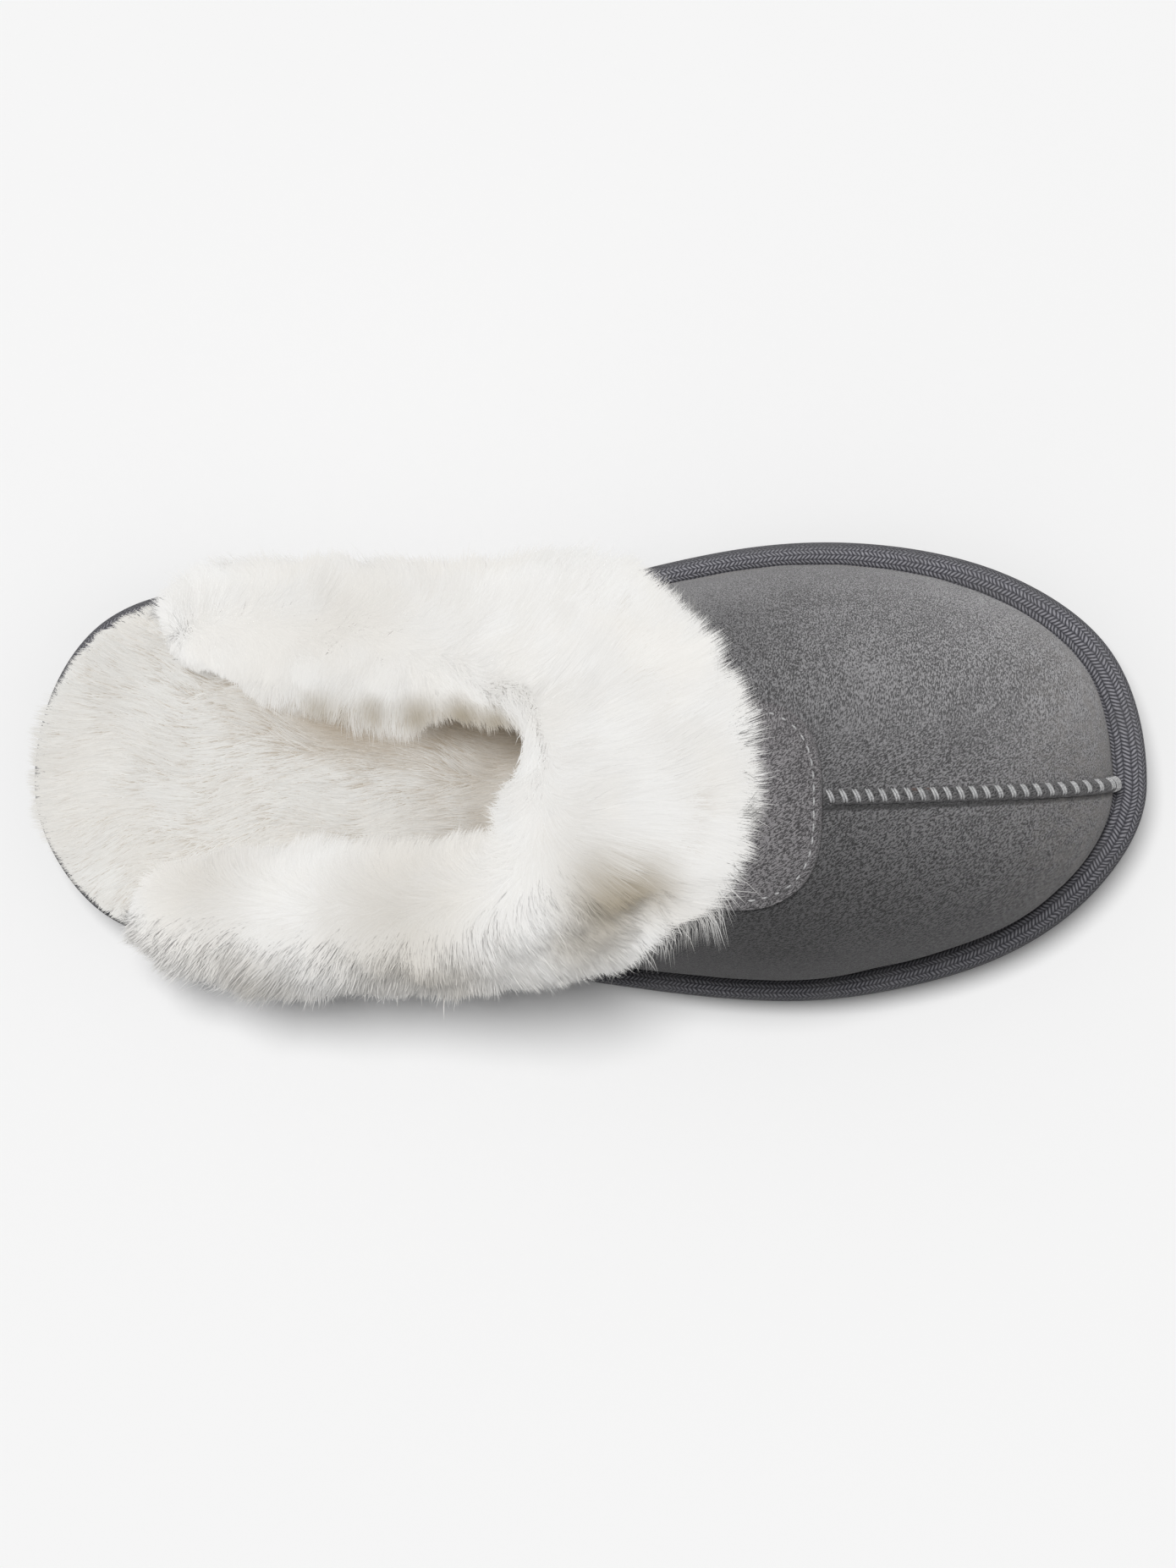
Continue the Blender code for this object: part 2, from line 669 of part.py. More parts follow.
def build_cuff(parent):
    """Deep fur cuff folded over the suede's edge, its locks raised from the skin and combed to the hems."""
    fur = material("cuff_fur", (0.90, 0.89, 0.87), 0.9)
    random = np.random.default_rng(11)
    alongs = np.linspace(0, 1, CUFF_SECTIONS_A_SIDE + 1)
    rings = [cuff_ring(LATERAL, along) for along in alongs]
    rings += [cuff_ring(MEDIAL, along) for along in alongs[-2::-1]]
    skin = len(OUTER_WAYS) + len(FOLD_TURNS)
    crest = len(OUTER_WAYS) + len(FOLD_TURNS) // 2

    def lock(i, j, corners):
        if j >= skin:
            return None
        comb = corners[1] - corners[0] if j > crest else corners[0] - corners[1]
        return lock_tip(corners, comb, LOCK_RISE, LOCK_LEAN, random.uniform(*LOCK_SIZES))

    cuff = loft("fur_cuff", rings, fur, parent, lock)
    suede_form = upper_sheets(-GAP, WALL + GAP, GAP)
    patch_form = patch_sheets(PATCH_LIFT + PATCH_THICKNESS + GAP, -GAP, GAP)
    for name, form in (("suede_form", suede_form), ("patch_form", patch_form)):
        cut_with(cuff, as_cutter(shell(name, *form, fur, parent)))
    return cuff


def main():
    for obj in list(bpy.data.objects):
        bpy.data.objects.remove(obj)
    slipper = bpy.data.objects.new("slipper", None)
    bpy.context.scene.collection.objects.link(slipper)
    parts = [
        build(slipper)
        for build in (
            build_outsole,
            build_midsole,
            build_insole,
            build_upper,
            build_patch,
            build_seam,
            build_cuff,
        )
    ]
    corners = np.array([v.co for part in parts for v in part.data.vertices])
    middle = (corners.min(axis=0) + corners.max(axis=0)) / 2
    slipper.location = (-middle[0], -middle[1], 0.0)


main()
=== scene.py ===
"""Looks of the fuzzy slipper: suede, woven tape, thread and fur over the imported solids.

Shapes are worked out in the last's own frame, as the solids were. X runs from the heel's back to the toe,
Y from the centre seam to the medial side, and Z up from the floor. placed() moves them into the row's frame.
"""
import math

import bmesh
import bpy
import numpy as np
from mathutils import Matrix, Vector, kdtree


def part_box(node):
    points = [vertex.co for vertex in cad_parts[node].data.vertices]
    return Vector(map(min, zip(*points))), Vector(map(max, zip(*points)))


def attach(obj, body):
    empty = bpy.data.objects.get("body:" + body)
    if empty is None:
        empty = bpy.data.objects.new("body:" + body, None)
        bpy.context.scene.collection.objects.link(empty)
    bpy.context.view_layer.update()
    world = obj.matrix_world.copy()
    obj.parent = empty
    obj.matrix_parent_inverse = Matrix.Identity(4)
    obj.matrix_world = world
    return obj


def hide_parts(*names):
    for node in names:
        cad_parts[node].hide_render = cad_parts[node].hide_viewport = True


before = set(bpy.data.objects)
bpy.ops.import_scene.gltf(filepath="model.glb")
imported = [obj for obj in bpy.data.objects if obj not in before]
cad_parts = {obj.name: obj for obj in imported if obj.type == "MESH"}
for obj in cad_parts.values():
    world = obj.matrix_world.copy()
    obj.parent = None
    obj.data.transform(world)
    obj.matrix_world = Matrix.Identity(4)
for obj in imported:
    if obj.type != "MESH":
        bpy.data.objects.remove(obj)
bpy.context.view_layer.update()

# Driving dimensions of the last, in metres; stations are shares of its length
LENGTH = 0.260
BALL_WIDTH = 0.1076
INSTEP_RISE = 0.060
GAP = 0.0003
HEEL_STACK, BALL_STACK = 0.0250, 0.0210
STACK_FROM, STACK_TO = 0.20, 0.66
MIDSOLE_SHARE = 0.60
TOE_SPRING, TOE_SPRING_FROM = 0.0075, 0.76
HEEL_LIFT, HEEL_LIFT_TO = 0.0020, 0.05
ARCH_RISE, ARCH_FROM, ARCH_TO = 0.0022, 0.30, 0.56
OUTSOLE_INSET = 0.0012
GROOVE_WIDTH, GROOVE_DEPTH, GROOVE_PITCH = 0.0024, 0.0016, 0.0110
TREAD_ZONES = ((0.070, 0.285), (0.575, 0.755))
WALL = 0.0026
FULLNESS = 2.35
THROAT = 0.492
MEDIAL, LATERAL = 1, -1
REAR = {MEDIAL: 0.127, LATERAL: 0.096}
BULGE = {MEDIAL: 0.0030, LATERAL: 0.0008}
LATERAL_LEDGE = 0.0018                      # how much more of the tape shows beside the lateral forefoot
LEDGE_SPAN = (0.35, 0.55, 0.80, 0.97)       # and at which stations
PATCH_BACK, PATCH_FRONT = 0.156, 0.1818
PATCH_HALF_WIDTH = 0.0236
PATCH_CENTRE_Y = -0.0005
PATCH_ROUNDNESS = 3.2
PATCH_SIDE = 0.30
PATCH_LIFT, PATCH_THICKNESS, PATCH_EDGE = 0.0003, 0.0016, 0.0011
SEAM_FROM = 0.1826
SEAM_SHIFT = 0.0009                         # how far the seam leans to the medial side
SEAM_WIDTH, SEAM_HEIGHT = 0.0036, 0.0024
SEAM_TOE_ANGLE = 0.14
INSOLE_CLEARANCE = 0.0009
HEEL_PILE_INSET = 0.0010
PILE_DRAWS_IN = (0.016, 0.002)

# Half widths of the wrapped sole from the seam line, as shares of half the ball width
SOLE_OUTLINE = (
    # station, medial, lateral
    (0.000, 0.000, 0.000),
    (0.020, 0.440, 0.342),
    (0.060, 0.693, 0.569),
    (0.125, 0.822, 0.695),
    (0.220, 0.853, 0.757),
    (0.310, 0.820, 0.779),
    (0.400, 0.794, 0.812),
    (0.480, 0.848, 0.862),
    (0.560, 0.939, 0.918),
    (0.650, 1.022, 0.961),
    (0.710, 1.041, 0.959),
    (0.780, 1.020, 0.909),
    (0.860, 0.931, 0.792),
    (0.930, 0.756, 0.589),
    (0.975, 0.519, 0.348),
    (1.000, 0.000, 0.000),
)

# Height of the suede's ridge over the platform, as a share of INSTEP_RISE, and the ledge left outside it
UPPER_SECTIONS = (
    # station, rise, ledge in metres
    (0.050, 0.200, 0.0045),
    (0.127, 0.345, 0.0045),
    (0.230, 0.615, 0.0045),
    (0.346, 0.838, 0.0045),
    (0.423, 0.942, 0.0045),
    (0.492, 1.000, 0.0045),
    (0.577, 0.983, 0.0045),
    (0.650, 0.942, 0.0047),
    (0.710, 0.883, 0.0050),
    (0.780, 0.792, 0.0055),
    (0.860, 0.650, 0.0064),
    (0.930, 0.458, 0.0073),
    (0.975, 0.267, 0.0079),
    (1.000, 0.000, 0.0082),
)

# How far round its section, from feather line to ridge, the suede reaches behind the throat
TOP_LINE = (
    # metres behind the throat, climb in degrees
    (0.000, 90.0),
    (0.002, 78.0),
    (0.008, 67.0),
    (0.018, 58.0),
    (0.038, 50.0),
    (0.068, 44.0),
    (0.095, 40.0),
    (0.110, 38.5),
)

# The cuff from its rear end (0) to the throat (1): its place on the suede's edge, its hem and its reach
CUFF_SECTIONS = (
    # along, edge share, hem station, hem climb in degrees, inner reach in metres, fullness
    (0.00, 0.00, 0.115, 22.0, 0.0015, 0.46),
    (0.07, 0.08, 0.146, 16.0, 0.0025, 0.80),
    (0.15, 0.17, 0.180, 12.0, 0.0042, 0.97),
    (0.26, 0.29, 0.232, 9.0, 0.0075, 1.00),
    (0.42, 0.45, 0.305, 8.0, 0.0110, 1.00),
    (0.62, 0.66, 0.410, 8.0, 0.0140, 1.00),
    (0.76, 0.81, 0.500, 11.0, 0.0140, 1.00),
    (0.86, 0.91, 0.563, 31.0, 0.0140, 1.00),
    (0.94, 0.98, 0.609, 61.0, 0.0140, 1.00),
    (1.00, 1.00, 0.627, 90.0, 0.0140, 1.00),
)

# The fur's core under its hairs, in metres
CORE_OUT, CORE_HEM, CORE_OVER, THROAT_OVER = 0.0095, 0.0042, 0.0080, 0.0150
CORE_IN = {MEDIAL: 0.0050, LATERAL: 0.0135}
THROAT_IN = 0.0076
MEDIAL_SWELL = 0.0024                       # how much thicker the middle of the medial side is
REAR_ROUND = 0.0040                         # how far the core's rounded rear ends reach back
REAR_ROUND_TURNS = (25, 50, 70, 84)         # degrees
CORE_ROUNDNESS, HEM_ROUNDNESS = 2.2, 2.4
CUFF_RINGS = 64                             # a side
# Columns of its sections: outer side, fold, inner side, and back through the suede
OUTER, FOLD, INNER, BACKING = 22, 14, 10, 4

# Shares of the way from the suede's edge to the hem
CORE_TURNS_AT, CORE_ENDS_AT = 0.58, 0.84    # the core starts to round over, and comes down to the suede
HEM_FROM = (0.5, 0.8)                       # where the hem's looks start

# Shares of the cuff's length, from its rear ends to the throat
CORE_STARTS_AT = 0.04                       # hairs alone make up what lies behind
INNER_GROWS = {MEDIAL: 0.30, LATERAL: 0.10}     # in which the inner side deepens
THROAT_FROM = {MEDIAL: 0.88, LATERAL: 0.72}     # from which sizes turn to the throat's
SWELL_SPAN = (0.30, 0.55, 0.80, 0.96)
CORNER_SPAN = (0.52, 0.72, 0.80, 0.92)      # where the medial fold draws in beside the throat
CORNER_LOSES = {"inner": 0.85, "over": 0.50, "hair": 0.15}
TIER_ENDS = (0.88, 0.72)                    # where the medial side's lower tier of hairs ends

# Dents and creases of the cuff seen from above
CUFF_DENTS = (
    # x, y, radius, depth
    (0.1385, -0.0240, 0.0105, 0.0068),
    (0.1490, -0.0390, 0.0150, 0.0030),
    (0.1320, -0.0520, 0.0120, 0.0040),
    (0.1150, 0.0230, 0.0065, 0.0022),
    (0.0950, 0.0290, 0.0060, 0.0018),
)
DENT_SHORTENS = 55.0                        # share of a hair's length lost for each metre of dent
CUFF_CREASES = (
    # from x, y, to x, y, radius, depth
    (0.1060, -0.0460, 0.1270, -0.0420, 0.0036, 0.0045),
    (0.0700, 0.0360, 0.0900, 0.0330, 0.0045, 0.0016),
)

# Spots of painted shade on the cuff: its hollows and crease, the medial side's lower tier, and faint broad
# ones over its sides and rear
CUFF_SHADE_SPOTS = (
    # x, y, z, radius, strength
    (0.1370, -0.0205, 0.088, 0.0200, 1.00),
    (0.1280, -0.0300, 0.078, 0.0150, 0.60),
    (0.0900, -0.0310, 0.064, 0.0340, 0.50),
    (0.0420, -0.0230, 0.047, 0.0220, 0.32),
    (0.1320, -0.0110, 0.086, 0.0220, 0.20),
    (0.0760, 0.0400, 0.064, 0.0400, 0.17),
    (0.1400, -0.0215, 0.087, 0.0130, 0.60),
    (0.1185, -0.0440, 0.043, 0.0120, 0.45),
    (0.0700, 0.0203, 0.060, 0.0090, 0.75),
    (0.0810, 0.0195, 0.065, 0.0080, 0.65),
    (0.0910, 0.0186, 0.069, 0.0085, 0.80),
    (0.1010, 0.0184, 0.071, 0.0085, 0.95),
    (0.1090, 0.0178, 0.073, 0.0080, 0.90),
    (0.0680, -0.0360, 0.056, 0.0080, 0.35),
    (0.0525, -0.0390, 0.049, 0.0180, 0.40),
)

# Inner edge of the medial cuff seen from above, under which the footbed lies in shade
SHADE_EDGE = (
    # x, y
    (0.030, 0.0350), (0.047, 0.0220), (0.059, 0.0165), (0.071, 0.0130), (0.085, 0.0108), (0.102, 0.0104),
)

# Hairs: sizes in metres, leans in degrees from the skin's normal at root and tip
CUFF_HAIR, FOLD_HAIR, INNER_HAIR, REAR_HAIR = 0.0126, 0.0100, 0.0085, 0.0050
FOOTBED_HAIR, LINING_HAIR = 0.0105, 0.0050
CUFF_LEAN, FOOTBED_LEAN, LINING_LEAN = (64, 88), (56, 85), (40, 75)
HAIR_WIDTH, HAIR_ROOT = 0.00022, 0.0006
CUFF_CLUMP, FOOTBED_CLUMP, LINING_CLUMP = 0.0028, 0.0042, 0.0034
LOCK_SCALE = 2.4                            # size of a lock of fur against a clump of hairs
CUFF_HAIRS = {"lateral_side": 36000, "lateral_fold": 38000, "throat": 62000, "medial": 62000}
FOOTBED_HAIRS, LINING_HAIRS = 56000, 14000
LATERAL_ENDS, MEDIAL_STARTS = (0.48, 0.38), (0.60, 0.71)    # shares of the rings where the pieces part
HEM_COLUMNS, OUTER_COLUMNS = (5, 12), (25, 16)      # where the lateral side's hairs start and end
SWIRL, SWIRL_SIZE = 0.30, 0.022             # how far combs turn aside, and over which distance
HAIR_LENGTHS, LOCK_LENGTHS, LOCK_LEANS = (0.78, 1.08), (0.84, 1.16), (0.84, 1.02)
THROAT_LONGER, THROAT_LONGER_FROM = 0.30, 0.90      # share that the outer hairs gain at the throat
LATERAL_SHORTER, SHORTER_SPAN = 0.38, (0.30, 0.65, 0.85, 0.95)      # and lose on the lateral side

# Medial hairs under the fold are longer, less combed and darker with painted shade, and those on it shorter
# and paler, with less of it
UNDER_FROM = (1.35, 1.75)                   # radians round the fold
UNDER_LONGER, UNDER_LOOSER, UNDER_DARKER = 0.15, 0.60, 0.84
FOLD_SHORTER, FOLD_PALER = 0.42, 0.45

# Combs
REARWARD_COMB, REARWARD_UNTIL = 0.55, (0.80, 0.45)  # radians that sides turn to the heel
MEDIAL_TURNS = (0.45, 1.00)                 # where the medial fur turns to a sweep forward
FOLD_PARTS = (1.95, 0.70)                   # radians round the fold between which fur parts to in and out
THROAT_PARTS, THROAT_PARTS_FROM = 0.45, (0.70, 0.90)        # how much nearer to the outside at the throat
CREST_TURN, CREST_WAY = 1.05, 0.25          # radians round it and way to the hem where fur turns down

# How far the shading of hairs turns from the skin's normal to the sky: on sides, on folds, more at the hem
SKY = {MEDIAL: (0.50, 1.20), LATERAL: (0.60, 0.60)}
HEM_SKY, FOOTBED_SKY = 0.5, 0.32
FRONTS_TURN = 0.16                          # how far the fronts of hairs turn from the sky to the outside
UPWARD = np.array((0.0, 0.0, 1.0))

# Tones lead from the colour of roots (0) to that of tips (1), and above 1 the roots are paler too.
# The roots' colour is partly painted shade deep in the fur, so a low tone paints shade; the skin's tone
# paints shade between the hairs
SKIN_TONE = 0.30
CREST_TONE, HEM_TONE = 0.9, 0.5             # what the outer side gains at its crest, and at its hem as painted light over its shade
FOLD_TONES, FOLD_DARKENS = (1.90, 0.65), (2.0, 3.0)         # and radians where painted shade deepens inward on the fold
# The lining's low tone paints shade inside the upper
LINING_TONE = 0.4

# Stitches
WHIP_STITCHES = 23
THREAD_RADIUS, WHIP_RADIUS = 0.00025, 0.00030
WHIP_SLANT, WHIP_GAP = 0.0015, 0.00066
TOE_WRAPS = (1.9, 3.0, 4.1)                 # wraps beyond the last stitch, in strand gaps
PATCH_STITCH_INSET = 0.0022
PATCH_STITCH, PATCH_STITCH_GAP = 0.0019, 0.0010

# Soft troughs and ridges of the vamp, seen from above; a ridge has a negative depth
VAMP_CREASES = (
    # from x, y, to x, y, radius, depth
    (0.2210, 0.0250, 0.2290, 0.0190, 0.0070, 0.00080),
    (0.2000, 0.0330, 0.2140, 0.0270, 0.0090, -0.00040),
    (0.1900, -0.0060, 0.2420, -0.0065, 0.0030, 0.00045),
    (0.1900, 0.0060, 0.2420, 0.0065, 0.0030, 0.00030),
    (0.1720, -0.0330, 0.1960, -0.0400, 0.0060, 0.00060),
    (0.2100, -0.0280, 0.2340, -0.0220, 0.0070, 0.00045),
    (0.1700, 0.0330, 0.1860, 0.0400, 0.0060, 0.00040),
)
PUCKERS, PUCKER_DEPTH = 58, 0.00008

# Smudges of the vamp (the first two), a darker patch beside the medial cuff's front, and painted shade of
# the fur beside the lateral cuff's front
SMUDGES_AND_FUR_SHADE = (
    # x, y, z, radius, strength
    (0.2262, 0.0238, 0.047, 0.0090, 0.55),
    (0.2120, 0.0130, 0.058, 0.0120, 0.18),
    (0.1600, 0.0350, 0.060, 0.0200, 0.30),
    (0.1560, -0.0300, 0.060, 0.0170, 0.35),
)
RUST_SPECKS, SPECK_OFFSET, SPECK_RADIUS = (0.2040, 0.2075), (0.0, 0.0014, 0.0010), 0.0013   # on the seam

# Painted shade across the slipper: suede and tape are painted darker on the lateral side, away from the key,
# than on the medial one
SIDE_SHADE_TONES, SIDE_SHADE_SPAN, NAP_MEETS = (0.40, 1.72), (-0.046, 0.046), (-0.020, 0.020)
TAPE_SHADE_TONES, TAPE_SHADE_SPAN = (0.57, 1.08), (-0.042, 0.010)
CUFF_SHADE_TONES, CUFF_SHADE_SPAN = (0.73, 1.24), (0.020, 0.115)          # painted shade: the suede darker by the cuff than at the toe
SEAM_SHADE = (0.0036, 0.0010)               # shade beside the seam: how far to the lateral side, half width

# The photograph's view
PICTURE_HEIGHT = 1853
PIXELS_PER_METRE = 5033.0
CAMERA_DISTANCE = 1.30
CAMERA_TILT = 4.5                           # degrees towards the medial side
VIEW_CENTRE = (0.1294, -0.0005, 0.018)
SENSOR = 36.0

# Light: what a white floor gets from the room and, facing it, from the key
AMBIENT, KEY = 0.23, 0.77
KEY_ELEVATION, KEY_TURN, KEY_SOFTNESS = 75, 24, 18          # degrees
FLOOR_REACH = 4.0


def spline(knots, values):
    """Natural cubic curve through the knots, as a function of an array."""
    x = np.asarray(knots, float)
    y = np.asarray(values, float)
    step = np.diff(x)
    rows = np.eye(len(x))
    right = np.zeros(len(x))
    for i in range(1, len(x) - 1):
        rows[i, i - 1:i + 2] = step[i - 1], 2 * (step[i - 1] + step[i]), step[i]
        right[i] = 6 * ((y[i + 1] - y[i]) / step[i] - (y[i] - y[i - 1]) / step[i - 1])
    bend = np.linalg.solve(rows, right)

    def at(t):
        t = np.asarray(t, float)
        k = np.clip(np.searchsorted(x, t) - 1, 0, len(x) - 2)
        a = (x[k + 1] - t) / step[k]
        b = (t - x[k]) / step[k]
        curve = ((a**3 - a) * bend[k] + (b**3 - b) * bend[k + 1]) * step[k] ** 2 / 6
        return a * y[k] + b * y[k + 1] + curve

    return at


def station_angle(station):
    """The angle that spaces sections closely at heel and toe: 0 at the heel's back, pi at the toe tip."""
    return np.arccos(1 - 2 * np.clip(station, 0.0, 1.0))


def table_curves(table, knot_of):
    """A curve for each column of a table after its first, over knots worked out from the first."""
    first, *rest = zip(*table)
    knots = [float(knot_of(value)) for value in first]
    return [spline(knots, column) for column in rest]


def smoothstep(start, end, value):
    t = np.clip((value - start) / (end - start), 0.0, 1.0)
    return t * t * (3 - 2 * t)


def hump(span, value):
    """1 within a span and 0 outside it; the span holds where its two soft flanks start and end."""
    return smoothstep(span[0], span[1], value) * smoothstep(span[3], span[2], value)


def unit(vectors):
    return vectors / np.maximum(np.linalg.norm(vectors, axis=-1, keepdims=True), 1e-12)


outline_medial, outline_lateral = table_curves(SOLE_OUTLINE, station_angle)
ridge_rise, feather_ledge = table_curves(UPPER_SECTIONS, station_angle)
(edge_climb,) = table_curves(TOP_LINE, math.sqrt)
cuff_edge, cuff_hem_station, cuff_hem_climb, cuff_reach, cuff_fullness = table_curves(CUFF_SECTIONS, float)


# The last: outline, heights of the sole, and the upper's surface

def half_width(side, angle):
    share = np.where(np.asarray(side) > 0, outline_medial(angle), outline_lateral(angle))
    return share * BALL_WIDTH / 2


def outline_point(side, angle, inset):
    """Points of the sole's outline in plan, moved in along the outline's normal."""
    small = 1e-4
    x = LENGTH * (1 - np.cos(angle)) / 2
    dx = LENGTH * np.sin(angle) / 2
    dy = side * (half_width(side, angle + small) - half_width(side, angle - small)) / (2 * small)
    length = np.hypot(dx, dy)
    return x + inset * side * dy / length, side * half_width(side, angle) - inset * side * dx / length


def floor_curve(x):
    station = x / LENGTH
    toe = np.maximum(0.0, station - TOE_SPRING_FROM) / (1 - TOE_SPRING_FROM)
    heel = np.maximum(0.0, HEEL_LIFT_TO - station) / HEEL_LIFT_TO
    return TOE_SPRING * toe**2 + HEEL_LIFT * heel**2


def stack(x):
    return HEEL_STACK + (BALL_STACK - HEEL_STACK) * smoothstep(STACK_FROM, STACK_TO, x / LENGTH)


def sole_bottom(x):
    share = np.clip((x / LENGTH - ARCH_FROM) / (ARCH_TO - ARCH_FROM), 0.0, 1.0)
    return floor_curve(x) + ARCH_RISE * np.sin(math.pi * share) ** 2


def outsole_top(x):
    return floor_curve(x) + stack(x) * (1 - MIDSOLE_SHARE)


def platform(x):
    return floor_curve(x) + stack(x)


def upper_point(side, angle, climb, depth=0.0):
    """Points of the upper: climb is 0 at the feather line and pi/2 at the ridge, depth is into the wall."""
    medial = np.asarray(side) > 0
    wider = LATERAL_LEDGE * hump(LEDGE_SPAN, (1 - np.cos(angle)) / 2)
    inset = feather_ledge(angle) + depth + np.where(medial, 0.0, wider)
    foot_x, foot_y = outline_point(side, angle, inset)
    ridge_x = (foot_x + outline_point(-side, angle, inset)[0]) / 2
    across = np.maximum(np.cos(climb), 0.0) ** (2 / FULLNESS)
    up = np.maximum(np.sin(climb), 0.0) ** (2 / FULLNESS)
    rise = np.maximum(ridge_rise(angle), 0.0) * INSTEP_RISE
    rise = np.where(np.asarray(depth) <= 0, rise - depth, rise * rise / (rise + np.abs(depth) + 1e-9))
    bulge = np.where(medial, BULGE[MEDIAL], BULGE[LATERAL])
    swell = bulge * np.minimum(1.0, 2 * rise / INSTEP_RISE) * np.sin(2 * climb) * np.cos(climb)
    x = ridge_x + (foot_x - ridge_x) * across
    return np.stack((x, foot_y * across + side * swell, platform(x) + GAP + rise * up), axis=-1)


def upper_normal(side, angle, climb):
    """Outward unit normals of the upper."""
    small = 1e-3
    climb = np.clip(climb, 2 * small, math.pi / 2 - 2 * small)
    angle = np.clip(angle, 2 * small, math.pi - 2 * small)
    along = upper_point(side, angle + small, climb) - upper_point(side, angle - small, climb)
    upward = upper_point(side, angle, climb + small) - upper_point(side, angle, climb - small)
    return unit(np.cross(along, upward) * -np.asarray(side, float)[..., None])


def top_climb(station):
    """How far round the section the suede reaches: to the ridge before the throat, to its edge behind."""
    behind = np.maximum(THROAT - np.asarray(station, float), 0.0) * LENGTH
    return np.radians(np.where(behind > 0, edge_climb(np.sqrt(behind)), 90.0))


def on_upper(x, y, lift):
    """Points of the vamp above (x, y) in plan, found step by step and lifted along its normal."""
    small = 1e-4
    x, y = np.broadcast_arrays(np.asarray(x, float), np.asarray(y, float))
    side = np.where(y >= 0, MEDIAL, LATERAL)
    station = x / LENGTH
    climb = np.full(x.shape, math.radians(70))
    for _ in range(14):
        here = upper_point(side, station_angle(station), climb)
        by_station = (upper_point(side, station_angle(station + small), climb) - here) / small
        by_climb = (upper_point(side, station_angle(station), climb + small) - here) / small
        miss_x, miss_y = x - here[..., 0], y - here[..., 1]
        turn = by_station[..., 0] * by_climb[..., 1] - by_station[..., 1] * by_climb[..., 0]
        turn = np.where(np.abs(turn) < 1e-9, -1e-9, turn)
        move_station = (miss_x * by_climb[..., 1] - miss_y * by_climb[..., 0]) / turn
        move_climb = (by_station[..., 0] * miss_y - by_station[..., 1] * miss_x) / turn
        station = np.clip(station + np.clip(move_station, -0.05, 0.05), 0.3, 0.995)
        climb = np.clip(climb + np.clip(move_climb, -0.3, 0.3), 0.05, math.pi / 2 - 2 * small)
    angle = station_angle(station)
    lift = np.asarray(lift, float)[..., None]
    return upper_point(side, angle, climb) + lift * upper_normal(side, angle, climb)


# Placing and making of meshes

SOLE_LOW, SOLE_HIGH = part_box("wrapped_midsole")
FINE_ANGLES = np.linspace(0, math.pi, 2001)
ORIGIN = np.array((SOLE_LOW.x, SOLE_HIGH.y - half_width(MEDIAL, FINE_ANGLES).max(), 0.0))


def placed(points):
    """From the last's frame to the row's."""
    return np.asarray(points, float) + ORIGIN


def dress(obj, slot, *nodes):
    """Lets a piece ride with the slipper and stand for solids; the slot is not used."""
    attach(obj, "root")
    if nodes:
        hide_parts(*nodes)


def shown(name, mesh):
    """An object of a mesh, in the scene."""
    obj = bpy.data.objects.new(name, mesh)
    bpy.context.scene.collection.objects.link(obj)
    return obj


def new_piece(name, points, faces, material, uv=None):
    """A smooth mesh object from points in the last's frame. uv holds a pair for each point."""
    mesh = bpy.data.meshes.new(name)
    mesh.from_pydata(placed(points).tolist(), [], [tuple(int(v) for v in face) for face in faces])
    if uv is not None:
        corner = np.empty(len(mesh.loops), np.int32)
        mesh.loops.foreach_get("vertex_index", corner)
        mesh.uv_layers.new(name="UVMap").data.foreach_set("uv", np.asarray(uv, np.float32)[corner].ravel())
    work = bmesh.new()
    work.from_mesh(mesh)
    bmesh.ops.remove_doubles(work, verts=work.verts, dist=1e-6)
    bmesh.ops.recalc_face_normals(work, faces=work.faces)
    if work.calc_volume(signed=True) < 0:
        bmesh.ops.reverse_faces(work, faces=work.faces)
    work.to_mesh(mesh)
    work.free()
    mesh.shade_smooth()
    mesh.materials.append(material)
    return shown(name, mesh)


def grid_faces(rows, columns, first=0, wrap=False):
    """Quads of a grid of points stored row by row; wrap also joins each row's end to its start."""
    faces = []
    for i in range(rows - 1):
        for j in range(columns if wrap else columns - 1):
            k = (j + 1) % columns
            a, b = first + i * columns, first + (i + 1) * columns
            faces.append((a + j, a + k, b + k, b + j))
    return faces


def closed_faces(rows, columns, first=0):
    """Faces of a solid whose rows of points are rings: quads between them and a lid on each end."""
    lids = (first, first + (rows - 1) * columns)
    return grid_faces(rows, columns, first, wrap=True) + [tuple(range(lid, lid + columns)) for lid in lids]


def grid_normals(points, wrap):
    """Unit normals of a grid of points, pointing away from its rows' middles if the rows are closed."""
    down = np.gradient(points, axis=0)
    if not wrap:
        return unit(np.cross(down, np.gradient(points, axis=1)))
    normals = unit(np.cross(down, np.roll(points, -1, axis=1) - np.roll(points, 1, axis=1)))
    outward = points - points.mean(axis=1, keepdims=True)
    return normals if (normals * outward).sum() >= 0 else -normals


def trough(points, creases):
    """Depth at each point, seen from above, of soft troughs along straight lines."""
    depth = np.zeros(points.shape[:-1])
    for x0, y0, x1, y1, radius, most in creases:
        start, along = np.array((x0, y0)), np.array((x1 - x0, y1 - y0))
        share = np.clip((points[..., :2] - start) @ along / (along @ along), 0, 1)
        away = np.linalg.norm(points[..., :2] - start - share[..., None] * along, axis=-1)
        depth += most * np.exp(-((away / radius) ** 2))
    return depth


def ripple(points, size, seed):
    """Smooth noise between about -1 and 1 with waves of about the given size."""
    random = np.random.default_rng(seed)
    total = np.zeros(points.shape[:-1])
    for _ in range(7):
        heading = unit(random.normal(size=3)) * 2 * math.pi / (size * random.uniform(0.7, 1.6))
        total += np.sin(points @ heading + random.uniform(0, 2 * math.pi))
    return total / 3.5


